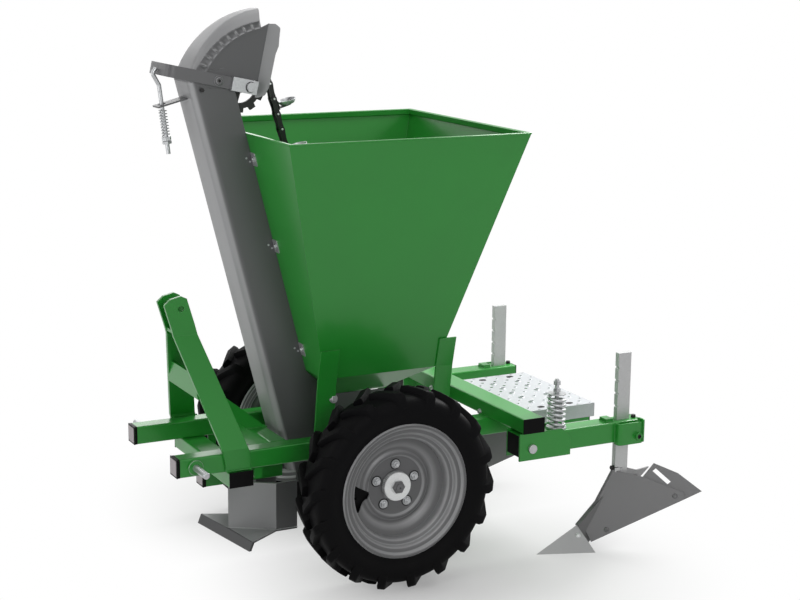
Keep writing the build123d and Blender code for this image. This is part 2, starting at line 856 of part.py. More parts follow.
# Wheels, hubs, axle and bearings
def make_tyre():
    def arc(start, middle, end):
        return Edge.make_three_point_arc((*start, 0), (*middle, 0), (*end, 0))

    def line(start, end):
        return Edge.make_line((*start, 0), (*end, 0))

    def other(point):
        return point[0], -point[1]

    inner_bead = (tyre_bead[0], tyre_bead[1] - tyre_thickness)
    inner_flange = (tyre_flange_top[0], tyre_flange_top[1] - tyre_thickness)
    inner_bulge = (tyre_bulge[0], tyre_bulge[1] - tyre_thickness)
    inner_shoulder = (tyre_shoulder[0] - tyre_thickness, tyre_shoulder[1] - tyre_thickness)
    half = [
        line(tyre_bead, tyre_flange_top), arc(tyre_flange_top, tyre_bulge, tyre_shoulder),
        line(inner_bead, tyre_bead), line(inner_flange, inner_bead),
        arc(inner_shoulder, inner_bulge, inner_flange),
    ]
    mirror_half = [edge.mirror(Plane.XZ) for edge in half]
    crown = arc(tyre_shoulder, (tyre_radius, 0), other(tyre_shoulder))
    lining = arc(inner_shoulder, (tyre_radius - tyre_thickness, 0), other(inner_shoulder))
    face = Face(Wire(half + mirror_half + [crown, lining]))
    return Pos(0, wheel_y, axle_height) * revolve(face, Axis.Y, 360)


def make_rim():
    lip = rim_half - rim_thickness
    tyre_side = [(rim_radius, lip), (rim_seat, rim_seat_edge), (rim_seat, rim_seat_edge - 2 * rim_thickness),
                 (rim_well, rim_well_half)]
    air_side = [(rim_radius, rim_half), (rim_seat - rim_thickness, rim_seat_edge + rim_thickness),
                (rim_seat - rim_thickness, rim_seat_edge - rim_thickness),
                (rim_well - rim_thickness, rim_well_half + rim_thickness)]
    outline = tyre_side + [(r, -y) for r, y in reversed(tyre_side)]
    outline += [(r, -y) for r, y in air_side] + list(reversed(air_side))
    barrel = turned(outline)
    back = disc_face - disc_thickness
    overlap = rim_well - rim_thickness / 2
    disc = turned([
        (disc_hole, disc_face), (disc_flat, disc_face), (disc_step, 0), (overlap, 0),
        (overlap, -disc_thickness), (disc_step, -disc_thickness), (disc_flat, back), (disc_hole, back),
    ])
    return Pos(0, wheel_y, 0) * (barrel + disc)


def make_hub():
    back = wheel_y + disc_face - disc_thickness
    hub = pin(0, axle_height, hub_flange_radius, back - hub_flange_width, back)
    hub += pin(0, axle_height, hub_spigot_radius, back, hub_nose_reach)
    hub += pin(0, axle_height, hub_sleeve_radius, hub_sleeve_inner, hub_nose_reach)
    return hub - pin(0, axle_height, axle_radius + running_fit, hub_sleeve_inner, hub_nose_reach)


def make_wheel_bolts():
    face = wheel_y + disc_face
    bolts = []
    for index in range(bolt_count):
        angle = 2 * math.pi * index / bolt_count + math.pi / 2
        x, z = bolt_circle * math.cos(angle), axle_height + bolt_circle * math.sin(angle)
        head = Pos(x, face, z) * Rot(-90, 0, 0) * extrude(RegularPolygon(bolt_radius, 6), amount=bolt_height)
        bolts.append(head)
    return group(bolts + [mirrored(bolt) for bolt in bolts])


def make_bearing():
    y0, y1 = beam_spacing / 2 - bearing_half_width, beam_spacing / 2 + bearing_half_width
    base_z = (beam_bottom - bearing_base_height, beam_bottom)
    body = block((-bearing_base_half, bearing_base_half), (y0, y1), base_z)
    body += block((-bearing_radius, bearing_radius), (y0, y1), (axle_height, beam_bottom))
    body += pin(0, axle_height, bearing_radius, y0, y1)
    return body - pin(0, axle_height, axle_radius + running_fit, y0, y1)


# Furrow opener
def make_boot():
    top = carrier_span[2][0]
    slope = boot_half / (boot_nose_x - boot_bend_x)
    skin = boot_wall * math.hypot(1, slope) / slope
    outer = [(boot_nose_x, 0), (boot_bend_x, boot_half), (boot_rear_x, boot_half),
             (boot_rear_x, -boot_half), (boot_bend_x, -boot_half)]
    room = boot_half - boot_wall
    bend = boot_nose_x - skin - room / slope
    back = boot_rear_x - cut_margin
    inner = [(boot_nose_x - skin, 0), (bend, room), (back, room), (back, -room), (bend, -room)]
    return prism("z", outer, boot_bottom, top) - prism("z", inner, boot_bottom - cut_margin, top + cut_margin)


def make_sole():
    front = boot_nose_x + blade_thickness
    shift = blade_skew * blade_half
    plate = [(front - shift, blade_half), (front + shift, -blade_half), (boot_bend_x, -boot_half),
             (boot_rear_x, -boot_half), (boot_rear_x, boot_half), (boot_bend_x, boot_half)]
    sole = prism("z", plate, boot_bottom - sole_thickness, boot_bottom)
    corners = [(front - shift, blade_half, boot_bottom), (front + shift, -blade_half, boot_bottom),
               (front + shift + blade_lean, -blade_half, blade_bottom),
               (front - shift + blade_lean, blade_half, blade_bottom)]
    return sole + panel(corners, (-blade_thickness, 0, 0))


# Covering units, left side; the right one is their mirror image
def make_hiller_bracket():
    outline = over_beam(bracket_outline)
    outer = prism("y", outline, arm_out + arm_plate_gap, arm_out + arm_plate_gap + bracket_plate)
    inner = prism("y", outline, arm_in - arm_plate_gap - bracket_plate, arm_in - arm_plate_gap)
    top = arm_bottom - part_gap
    stop = block(stop_x, (arm_in - arm_plate_gap, arm_out + arm_plate_gap), (top - stop_thickness, top))
    bracket = outer + inner + stop
    bore = arm_pivot_radius + running_fit
    bracket -= pin(arm_pivot_x, arm_pivot_z, bore, arm_in - arm_size, arm_out + arm_size)
    return bracket - post(spring_x, hiller_y, spring_rod_radius + running_fit, 0, arm_bottom)


def make_arm_bolt():
    low, high = arm_in - arm_plate_gap - bracket_plate, arm_out + arm_plate_gap + bracket_plate
    bolt = pin(arm_pivot_x, arm_pivot_z, arm_pivot_radius, low, high)
    bolt += pin(arm_pivot_x, arm_pivot_z, arm_bolt_head_radius, high, high + arm_bolt_head_width)
    return bolt + pin(arm_pivot_x, arm_pivot_z, arm_bolt_head_radius, low - arm_bolt_head_width, low)


spring_foot = arm_top + spring_seat_height
spring_head = spring_foot + spring_length
spring_rod_top = spring_head + spring_rod_spare


def make_spring_rod():
    under = arm_bottom - part_gap - stop_thickness
    shaft = post(spring_x, hiller_y, spring_rod_radius, under - spring_nut_height, spring_rod_top)
    shaft += hex_post(spring_x, hiller_y, spring_nut_radius, under - spring_nut_height, under)
    cap_top = spring_head + spring_cap_thickness
    shaft += post(spring_x, hiller_y, spring_radius + spring_wire / 2, spring_head, cap_top)
    first_nut = spring_head + spring_seat_height
    for start in (first_nut, first_nut + spring_nut_height + spring_nut_gap):
        shaft += hex_post(spring_x, hiller_y, spring_nut_radius, start, start + spring_nut_height)
    return shaft


def make_arm_spring():
    coil = spring((spring_x, hiller_y, spring_foot), (spring_x, hiller_y, spring_head),
                  spring_radius, spring_wire, spring_turns)
    seat = post(spring_x, hiller_y, spring_seat_radius, arm_top, spring_foot)
    seat -= post(spring_x, hiller_y, spring_slot_half / 2, arm_top, spring_foot)
    return group([coil, seat])


arm_span = [(arm_rear, arm_front), (arm_in, arm_out), (arm_bottom, arm_top)]


def make_arm():
    arm = tube(arm_span, arm_wall, 0)
    arm += pin(arm_pivot_x, arm_pivot_z, arm_bush_radius, arm_in + arm_wall / 2, arm_out - arm_wall / 2)
    arm -= pin(arm_pivot_x, arm_pivot_z, arm_pivot_radius + running_fit, arm_in, arm_out)
    tall = (arm_bottom - cut_margin, arm_top + cut_margin)
    arm -= block((spring_x - spring_slot_half, spring_x + spring_slot_half),
                 (hiller_y - spring_slot_half / 2, hiller_y + spring_slot_half / 2), tall)
    clamp_z = heights(clamp_rise, arm_bottom)
    clamp_boss_z = arm_bottom + clamp_boss_rise
    clamp = block(clamp_x, (arm_out - arm_wall / 2, arm_out + clamp_reach), clamp_z)
    clamp = fillet(clamp.edges().filter_by(Axis.Z).group_by(Axis.X)[-1].sort_by(Axis.Y)[-1], clamp_corner)
    outer = arm_out + clamp_reach
    clamp -= block((clamp_x[0] + clamp_wall, clamp_x[1] - clamp_wall), (arm_out, outer - clamp_wall),
                   (clamp_z[0] - cut_margin, clamp_z[1] + cut_margin))
    clamp += pin(clamp_boss_x, clamp_boss_z, clamp_boss_radius, outer - clamp_wall, outer + clamp_boss_height)
    clamp -= pin(clamp_boss_x, clamp_boss_z, clamp_screw_radius, outer - clamp_wall,
                 outer + clamp_boss_height)
    arm += clamp
    lug_y = (hiller_y - lug_half, hiller_y + lug_half)
    arm += block(lug_x, lug_y, (arm_top - arm_wall / 2, arm_top + lug_height))
    return arm - block((shank_x[0] - part_gap, shank_x[1] + part_gap),
                       (hiller_y - shank_half - part_gap, hiller_y + shank_half + part_gap), tall)


def make_arm_plugs():
    return plug(arm_span, arm_wall, 0, 1) + plug(arm_span, arm_wall, 0, -1)


def nose_x(z):
    return nose_low[0] - nose_lean * (z - nose_low[1])


def make_shank():
    sweep_angle = math.radians(wing_angle)
    clear = (shank_half + wing_thickness / math.cos(sweep_angle)) / math.tan(sweep_angle)
    nose_top = nose_low[1] + wing_outline[1][1] / math.hypot(1, nose_lean)
    shelf_front = nose_low[1] + (nose_low[0] - clear - cut_margin - shank_x[1]) / nose_lean
    outline = [
        (shank_x[1], shank_top), (shank_x[0], shank_top),
        (shank_x[0], shank_bottom), (shank_x[1], shank_bottom),
        (shank_x[1], shelf_front), (nose_x(nose_top) - clear - cut_margin, nose_top + cut_margin),
        (shank_x[1], nose_top + 2 * cut_margin),
    ]
    shank = prism("y", outline, hiller_y - shank_half, hiller_y + shank_half)
    for index in range(notch_count):
        z = notch_first + index * notch_pitch
        shank -= pin(shank_x[1], z, notch_radius, hiller_y - shank_half, hiller_y + shank_half)
    return shank


wing_back = Vector(-math.cos(math.radians(wing_angle)), math.sin(math.radians(wing_angle)), 0)
wing_rise = Vector(-nose_lean, 0, 1).normalized()
wing_normal = wing_back.cross(wing_rise).normalized()


def wing_point(u, v, depth):
    return Vector(nose_low[0], hiller_y, nose_low[1]) + wing_back * u + wing_rise * v - wing_normal * depth


def wing_plate(outline, depth, thickness):
    return panel([wing_point(u, v, depth) for u, v in outline], wing_normal * -thickness)


def wing_stud(radius, near, far):
    return rod(wing_point(*wing_pivot, near), wing_point(*wing_pivot, far), radius)


def across(shape):
    return mirror(shape, about=Plane(origin=(0, hiller_y, 0), z_dir=(0, 1, 0)))


end_depth = wing_thickness + part_gap
end_back = end_depth + wing_end_thickness + part_gap


def make_wing_end(outline):
    plate = wing_plate(outline, end_depth, wing_end_thickness)
    return plate - wing_stud(wing_pivot_radius + running_fit, 0, end_back + cut_margin)


def make_outer_end():
    slot = wing_plate(wing_slot, end_depth - cut_margin, wing_end_thickness + 2 * cut_margin)
    return make_wing_end(wing_end_outline) - slot


def make_ridger():
    wing = wing_plate(wing_outline, 0, wing_thickness)
    wing += wing_stud(wing_pivot_radius, -wing_nut_height / 2, end_back + wing_nut_height)
    wing += wing_stud(wing_nut_radius, end_back, end_back + wing_nut_height)
    low, high = shelf_z
    slope = math.tan(math.radians(wing_angle))
    tip = nose_x(low) - wing_thickness
    half = (tip - shelf_rear_x) * slope - wing_thickness / 2
    corners = [(tip, hiller_y), (shelf_rear_x, hiller_y + half), (shelf_rear_x, hiller_y - half)]
    shelf = prism("z", corners, low, high)
    shelf -= block((shank_x[0] - part_gap, shank_x[1] + part_gap),
                   (hiller_y - shank_half - part_gap, hiller_y + shank_half + part_gap), shelf_z)
    front = [(x - part_gap if x > share_rear_x - part_gap else x, z) for x, z in web_outline]
    web = prism("y", front, hiller_y - web_half, hiller_y + web_half)
    return wing + across(wing) + shelf + web


def make_share():
    tip = Vector(share_tip_x, hiller_y, 0)
    top = Vector(share_top[0], hiller_y, share_top[1])
    left = Vector(share_rear_x, hiller_y + share_half, 0)
    right = Vector(share_rear_x, hiller_y - share_half, 0)
    sides = [(tip, left, top), (tip, top, right), (tip, right, left), (left, right, top)]
    faces = [Face(Wire.make_polygon(corners, close=True)) for corners in sides]
    return Solid(Shell(faces))


def make_plank():
    deck = (beam_top, beam_top + plank_sheet)
    skirt_in = plank_half - plank_sheet
    plank = block((plank_rear, plank_front), (-plank_half, plank_half), deck)
    for low, high in ((skirt_in, plank_half), (-plank_half, -skirt_in)):
        plank += block((plank_rear, plank_front), (low, high), (beam_top - plank_skirt, deck[1]))
    lip_x = (plank_rear, plank_rear + plank_sheet)
    plank += block(lip_x, (-plank_half, plank_half), (beam_top - plank_lip, deck[1]))
    for x in plank_slot_x:
        for y in (-beam_spacing / 2, beam_spacing / 2):
            plank -= block((x - plank_slot_length / 2, x + plank_slot_length / 2),
                           (y - plank_slot_width / 2, y + plank_slot_width / 2),
                           (beam_top - cut_margin, deck[1] + cut_margin))
    return plank


def make_nodes():
    beam, leg, tyre, rim = tube(beam_span, beam_wall, 0), make_leg(), make_tyre(), make_rim()
    bracket, arm, plugs, coil = make_hiller_bracket(), make_arm(), make_arm_plugs(), make_arm_spring()
    shank, ridger, share = make_shank(), make_ridger(), make_share()
    outer_end, inner_end = make_outer_end(), across(make_wing_end(inner_end_outline))
    nodes = {
        "left_beam": beam, "right_beam": mirrored(beam),
        "front_cross_tube": tube(front_span, cross_tube_wall, 1),
        "middle_cross_tube": tube(middle_span, beam_wall, 1),
        "rear_cross_tube": tube(rear_span, cross_tube_wall, 1),
        "opener_carrier_tube": tube(carrier_span, beam_wall, 0),
        "tube_plugs": make_plugs(),
        "lower_hitch_pins": both_sides(make_lower_pin()),
        "left_mast_leg": leg, "right_mast_leg": mirrored(leg),
        "mast_ties": make_mast_ties(), "mast_strut": make_strut(),
        "hopper": make_hopper(),
        "hopper_brackets": make_hopper_brackets(),
        "chute": make_chute(), "elevator_foot": both_sides(make_foot_plate()),
        "chute_clips": make_clips(), "hood": make_hood(),
        "cup_chain": group([make_link(i) for i in range(chain_links)]),
        "chain_cups": group([make_cup(i) for i in range(first_cup_link, chain_links, links_per_cup)]),
        "upper_sprocket": make_sprocket(upper_shaft_x, upper_shaft_z, upper_shaft_radius + running_fit,
                                        upper_tooth_clearance, upper_first_tooth),
        "upper_shaft": make_upper_shaft(),
        "tension_yoke": make_yoke(), "yoke_bearing_blocks": both_sides(make_bearing_block()),
        "yoke_pivot_bolts": both_sides(make_pivot_bolt()),
        "tension_plate": make_tension_plate(), "tension_rod": make_tension_rod(),
        "tension_spring": spring(rod_at(rod_spring_foot), rod_at(rod_spring_top),
                                 rod_spring_radius, rod_spring_wire, rod_spring_turns),
        "axle": pin(0, axle_height, axle_radius, -axle_reach, axle_reach),
        "axle_bearings": both_sides(make_bearing()),
        "drive_sprocket": make_sprocket(0, axle_height, axle_radius + running_fit,
                                        drive_tooth_clearance, drive_first_tooth),
        "wheel_hubs": both_sides(make_hub()), "wheel_bolts": make_wheel_bolts(),
        "left_rim": rim, "right_rim": mirrored(rim), "left_tyre": tyre, "right_tyre": mirrored(tyre),
        "opener_boot": make_boot(), "opener_sole": make_sole(), "step_plank": make_plank(),
        "arm_pivot_bolts": both_sides(make_arm_bolt()), "spring_rods": both_sides(make_spring_rod()),
    }
    for side, place in (("left", lambda shape: shape), ("right", mirrored)):
        nodes[side + "_arm_bracket"] = place(bracket)
        nodes[side + "_arm"] = place(arm)
        nodes[side + "_arm_plugs"] = place(plugs)
        nodes[side + "_arm_spring"] = place(coil)
        nodes[side + "_shank"] = place(shank)
        nodes[side + "_ridger"] = place(ridger)
        nodes[side + "_share"] = place(share)
        nodes[side + "_outer_wing_end"] = place(outer_end)
        nodes[side + "_inner_wing_end"] = place(inner_end)
    return nodes


def settle(nodes):
    box = group(nodes.values()).bounding_box()
    shift = Location((-(box.min.X + box.max.X) / 2, -(box.min.Y + box.max.Y) / 2, -box.min.Z))
    print("origin shift", [round(v, 4) for v in shift.position], "size", box.size)
    return {name: shape.moved(shift) for name, shape in nodes.items()}


if __name__ == "__main__":
    os.makedirs("parts", exist_ok=True)
    for name, shape in settle(make_nodes()).items():
        export_step(shape, "parts/" + name + ".step")
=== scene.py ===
import math

import bmesh
import bpy
from mathutils import Matrix, Vector


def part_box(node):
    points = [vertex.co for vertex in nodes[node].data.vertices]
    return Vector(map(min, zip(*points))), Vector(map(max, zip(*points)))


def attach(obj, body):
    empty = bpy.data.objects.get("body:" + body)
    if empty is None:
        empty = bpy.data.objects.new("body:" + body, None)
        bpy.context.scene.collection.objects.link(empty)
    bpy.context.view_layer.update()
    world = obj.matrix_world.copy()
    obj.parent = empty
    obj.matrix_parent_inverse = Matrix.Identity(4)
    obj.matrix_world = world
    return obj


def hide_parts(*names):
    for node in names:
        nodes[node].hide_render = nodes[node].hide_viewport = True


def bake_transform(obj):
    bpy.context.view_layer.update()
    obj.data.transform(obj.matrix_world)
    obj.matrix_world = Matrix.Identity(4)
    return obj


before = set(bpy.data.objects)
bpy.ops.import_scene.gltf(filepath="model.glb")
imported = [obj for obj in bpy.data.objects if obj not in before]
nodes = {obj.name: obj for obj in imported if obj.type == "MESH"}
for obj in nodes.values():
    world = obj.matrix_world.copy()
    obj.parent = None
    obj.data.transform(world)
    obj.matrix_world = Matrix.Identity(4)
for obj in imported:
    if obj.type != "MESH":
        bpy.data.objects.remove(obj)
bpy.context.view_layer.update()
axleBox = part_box("axle")
axleX = (axleBox[0].x + axleBox[1].x) / 2
print("frame:", len(nodes), "nodes, axle over x =", round(axleX, 4))


def spot(x, y, z):  # millimetres, with x counted from the axle, to the shared frame
    return Vector((x / 1000 + axleX, y / 1000, z / 1000))


def addObject(name, data):
    holder = bpy.data.objects.new(name, data)
    bpy.context.scene.collection.objects.link(holder)
    return holder


# Node tools
def wire(tree, node, values):  # links the sockets that are given a socket, and fills the others
    for socket, value in values.items():
        if isinstance(value, bpy.types.NodeSocket):
            tree.links.new(value, node.inputs[socket])
        else:
            node.inputs[socket].default_value = value


def put(tree, kind, values=None, **traits):
    node = tree.nodes.new(kind)
    for trait, value in traits.items():
        setattr(node, trait, value)
    wire(tree, node, values or {})
    return node


def addMath(tree, operation, first, second=0.0):
    return put(tree, "ShaderNodeMath", {0: first, 1: second}, operation=operation).outputs[0]


def addSpan(tree, value, low, high, **traits):  # 0 at low and 1 at high
    return put(tree, "ShaderNodeMapRange", {"Value": value, "From Min": low, "From Max": high}, **traits).outputs[0]


def addNoise(tree, scale, detail, rough=0.55):
    coord = put(tree, "ShaderNodeTexCoord").outputs["Object"]
    return put(tree, "ShaderNodeTexNoise", {
        "Vector": coord, "Scale": scale, "Detail": detail, "Roughness": rough}).outputs["Fac"]


def addScale(tree, colour, gain):
    return put(tree, "ShaderNodeVectorMath", {0: colour, "Scale": gain}, operation="SCALE").outputs[0]


def mixColour(tree, mask, under, over):
    return put(tree, "ShaderNodeMixRGB", {"Fac": mask, "Color1": under, "Color2": over}).outputs[0]


# Camera and light
cameraView = {
    "stand": (2389.57, 5010.56, 2030.25), "yaw": 27.624, "pitch": 12.054, "roll": -0.583, "lens": 76.98, "sensor": 36,
    "far": 100,
}
softboxes = {
    "nearBox": {"at": (600, 5200, 2600), "to": (0, 0, 800), "size": (3.0, 2.4), "power": 74},
    "topBox": {"at": (-900, 0, 4300), "to": (-300, 0, 600), "size": (4.0, 3.4), "power": 42},
    "frontBox": {"at": (3500, -500, 3000), "to": (0, 0, 900), "size": (2.2, 2.4), "power": 24},
    "lowBox": {"at": (3600, 600, 700), "to": (0, 0, 500), "size": (2.0, 1.2), "power": 24},
    "backBox": {"at": (-3600, -800, 3000), "to": (-600, 0, 450), "size": (2.4, 2.0), "power": 230},
    "farBox": {"at": (-400, -4400, 2200), "to": (0, 0, 700), "size": (3.0, 2.4), "power": 40},
}
backdrop = {"seen": 1.0, "ambient": 0.06}
floorSheet = {
    "half": 14.0, "middle": (-250, 430), "clear": (0.12, 0.95), "lift": 0.28, "tone": (0.60, 0.60, 0.595),
    "shades": (0.96, 1.05), "stain": 3.0, "stainDetail": 6,
}


def makeCamera(view):
    yaw, pitch, roll = (math.radians(view[key]) for key in ("yaw", "pitch", "roll"))
    level = Vector((-math.sin(yaw), -math.cos(yaw), 0))
    ahead = level * math.cos(pitch) - Vector((0, 0, 1)) * math.sin(pitch)
    right = ahead.cross(Vector((0, 0, 1))).normalized()
    down = ahead.cross(right).normalized()
    across = right * math.cos(roll) + down * math.sin(roll)
    up = right * math.sin(roll) - down * math.cos(roll)
    camera = addObject("camera", bpy.data.cameras.new("camera"))
    camera.data.lens, camera.data.sensor_width, camera.data.clip_end = view["lens"], view["sensor"], view["far"]
    turn = Matrix((across, up, -ahead)).transposed().to_4x4()
    camera.matrix_world = Matrix.Translation(spot(*view["stand"])) @ turn
    bpy.context.scene.camera = camera


def makeLights(boxes):
    for name, box in boxes.items():
        lamp = bpy.data.lights.new(name, "AREA")
        lamp.shape = "RECTANGLE"
        lamp.size, lamp.size_y = box["size"]
        lamp.energy = box["power"]
        aim = spot(*box["to"]) - spot(*box["at"])
        turn = aim.to_track_quat("-Z", "Y").to_matrix().to_4x4()
        addObject(name, lamp).matrix_world = Matrix.Translation(spot(*box["at"])) @ turn


def addShown(tree):  # 1 for rays that the camera, a mirror or a glass sends out
    path = put(tree, "ShaderNodeLightPath").outputs
    direct = addMath(tree, "MAXIMUM", path["Is Camera Ray"], path["Is Glossy Ray"])
    return addMath(tree, "MAXIMUM", direct, path["Is Transmission Ray"])


def makeWorld(light):
    world = bpy.data.worlds.new("studio")
    world.use_nodes = True
    bpy.context.scene.world = world
    tree = world.node_tree
    level = put(tree, "ShaderNodeMapRange", {
        "Value": addShown(tree), "To Min": light["ambient"], "To Max": light["seen"]})
    wire(tree, tree.nodes["Background"], {"Color": (1, 1, 1, 1), "Strength": level.outputs[0]})


def makeFloor(sheet):
    half = sheet["half"]
    mesh = bpy.data.meshes.new("floor")
    mesh.from_pydata([(-half, -half, 0), (half, -half, 0), (half, half, 0), (-half, half, 0)], [], [(0, 1, 2, 3)])
    material = bpy.data.materials.new("paleFloor")
    material.use_nodes = True
    tree = material.node_tree
    tree.nodes.remove(tree.nodes["Principled BSDF"])
    coord = put(tree, "ShaderNodeTexCoord").outputs["Object"]
    split = put(tree, "ShaderNodeSeparateXYZ", {0: coord}).outputs
    folded = put(tree, "ShaderNodeCombineXYZ", {  # both wheels share one fade
        "X": split["X"], "Y": addMath(tree, "ABSOLUTE", split["Y"])}).outputs[0]
    away = put(tree, "ShaderNodeVectorMath", {0: folded, 1: spot(*sheet["middle"], 0)}, operation="DISTANCE")
    fade = put(tree, "ShaderNodeMapRange", {
        "Value": away.outputs["Value"], "From Min": sheet["clear"][0], "From Max": sheet["clear"][1],
        "To Min": sheet["lift"]}, interpolation_type="SMOOTHSTEP")
    stain = put(tree, "ShaderNodeTexNoise", {
        "Vector": coord, "Scale": sheet["stain"], "Detail": sheet["stainDetail"]}).outputs["Fac"]
    dark, pale = ((*[value * shade for value in sheet["tone"]], 1) for shade in sheet["shades"])
    matte = put(tree, "ShaderNodeBsdfDiffuse", {"Color": mixColour(tree, stain, dark, pale)}).outputs[0]
    white = put(tree, "ShaderNodeEmission").outputs[0]
    seen = addMath(tree, "MULTIPLY", fade.outputs[0], addShown(tree))
    mix = put(tree, "ShaderNodeMixShader", {"Fac": seen, 1: matte, 2: white})
    wire(tree, tree.nodes["Material Output"], {"Surface": mix.outputs[0]})
    mesh.materials.append(material)
    addObject("floor", mesh)


bpy.context.scene.view_settings.view_transform = "Standard"
makeCamera(cameraView)
makeLights(softboxes)
makeWorld(backdrop)
makeFloor(floorSheet)
print("studio: camera, lights and floor")


# Shared surface effects
def newGroup(name, inputs, outputs):  # sockets named Colour or Side hold colours, the others numbers
    tree = bpy.data.node_groups.new(name, "ShaderNodeTree")
    for way, labels in (("INPUT", inputs), ("OUTPUT", outputs)):
        for label in labels:
            kind = "NodeSocketColor" if label in ("Colour", "Side") else "NodeSocketFloat"
            socket = tree.interface.new_socket(name=label, in_out=way, socket_type=kind)
            if way == "INPUT":
                socket.default_value = inputs[label]
    return tree, tree.nodes.new("NodeGroupInput").outputs


def closeGroup(tree, results):
    put(tree, "NodeGroupOutput", results)
    return tree


effects = {
    "samples": 4, "wearEdge": (0.03, 0.22), "wearNoise": (5, 0.65), "wearPatch": (0.42, 0.66), "driftDetail": 4,
    "peelDetail": 2, "dustNoise": (14.0, 7, 0.7), "dustUp": 0.5, "dustColour": (0.42, 0.39, 0.34, 1),
    # sheetTurn sets how far a face turns along Y before it takes the painted side shade
    "zincNoise": (90.0, 4), "sheetTurn": (0.74, 0.98),
}


def makeEdgeWear():  # bare edges where the rounded and the flat normal part
    tree, enter = newGroup("edgeWear", {"Width": 0.002, "Amount": 0.5, "Patch Scale": 30.0}, ["Mask"])
    bevel = put(tree, "ShaderNodeBevel", {"Radius": enter["Width"]}, samples=effects["samples"])
    flat = put(tree, "ShaderNodeNewGeometry").outputs["Normal"]
    dot = put(tree, "ShaderNodeVectorMath", {0: bevel.outputs[0], 1: flat}, operation="DOT_PRODUCT")
    edge = addSpan(tree, addMath(tree, "SUBTRACT", 1.0, dot.outputs["Value"]), *effects["wearEdge"])
    patch = addSpan(tree, addNoise(tree, enter["Patch Scale"], *effects["wearNoise"]), *effects["wearPatch"])
    worn = addMath(tree, "MULTIPLY", edge, patch)
    return closeGroup(tree, {"Mask": addMath(tree, "MULTIPLY", worn, enter["Amount"])})


def makeMottle():  # slow drift of tone and gloss over a coat, with fine peel in its height
    tree, enter = newGroup("coatMottle", {
        "Colour": (0.5, 0.5, 0.5, 1), "Drift": 0.1, "Drift Scale": 4.0, "Peel Scale": 500.0, "Roughness": 0.35,
        "Roughness Drift": 0.1}, ["Colour", "Roughness", "Height"])
    slow = addMath(tree, "SUBTRACT", addNoise(tree, enter["Drift Scale"], effects["driftDetail"]), 0.5)
    gain = addMath(tree, "ADD", addMath(tree, "MULTIPLY", slow, enter["Drift"]), 1.0)
    gloss = addMath(tree, "MULTIPLY", slow, enter["Roughness Drift"])
    return closeGroup(tree, {
        "Colour": addScale(tree, enter["Colour"], gain), "Roughness": addMath(tree, "ADD", gloss, enter["Roughness"]),
        "Height": addNoise(tree, enter["Peel Scale"], effects["peelDetail"])})


def makeDust():  # pale dust that settles low down and on faces turned up
    tree, enter = newGroup("settledDust", {"Amount": 0.2, "Reach": 0.5}, ["Mask"])
    coord = put(tree, "ShaderNodeTexCoord").outputs["Object"]
    height = put(tree, "ShaderNodeSeparateXYZ", {0: coord}).outputs["Z"]
    low = put(tree, "ShaderNodeMapRange", {"Value": height, "From Max": enter["Reach"], "To Min": 1.0, "To Max": 0.0})
    normal = put(tree, "ShaderNodeNewGeometry").outputs["Normal"]
    upward = addMath(tree, "MAXIMUM", put(tree, "ShaderNodeSeparateXYZ", {0: normal}).outputs["Z"])
    both = addMath(tree, "ADD", low.outputs[0], addMath(tree, "MULTIPLY", upward, effects["dustUp"]))
    spread = addMath(tree, "MULTIPLY", both, addNoise(tree, *effects["dustNoise"]))
    return closeGroup(tree, {"Mask": addMath(tree, "MULTIPLY", spread, enter["Amount"])})


def makeSpangle():  # zinc crystals: cells of differing brightness and gloss
    tree, enter = newGroup("zincSpangle", {
        "Scale": 150.0, "Contrast": 0.25, "Roughness": 0.3, "Colour": (0.6, 0.61, 0.62, 1)},
        ["Colour", "Roughness", "Height"])
    coord = put(tree, "ShaderNodeTexCoord").outputs["Object"]
    cells = put(tree, "ShaderNodeTexVoronoi", {"Vector": coord, "Scale": enter["Scale"]}).outputs["Color"]
    tint = put(tree, "ShaderNodeSeparateColor", {0: cells}).outputs[0]
    shift = addMath(tree, "MULTIPLY", addMath(tree, "SUBTRACT", tint, 0.5), enter["Contrast"])
    return closeGroup(tree, {
        "Colour": addScale(tree, enter["Colour"], addMath(tree, "ADD", shift, 1.0)),
        "Roughness": addMath(tree, "ADD", shift, enter["Roughness"]),
        "Height": addNoise(tree, *effects["zincNoise"])})


def makePaintedSideShade():  # a folded sheet whose faces turned along Y take a darker colour: painted shade on its flat sides, set against its lit front and folds
    tree, enter = newGroup("sheetTone", {"Colour": (0.5, 0.5, 0.5, 1), "Side": (0.2, 0.2, 0.2, 1)}, ["Colour"])
    normal = put(tree, "ShaderNodeNewGeometry").outputs["Normal"]
    across = addMath(tree, "ABSOLUTE", put(tree, "ShaderNodeSeparateXYZ", {0: normal}).outputs["Y"])
    share = addSpan(tree, across, *effects["sheetTurn"], interpolation_type="SMOOTHSTEP")
    return closeGroup(tree, {"Colour": mixColour(tree, share, enter["Colour"], enter["Side"])})


edgeWear, coatMottle, settledDust = makeEdgeWear(), makeMottle(), makeDust()
zincSpangle, sheetTone = makeSpangle(), makePaintedSideShade()


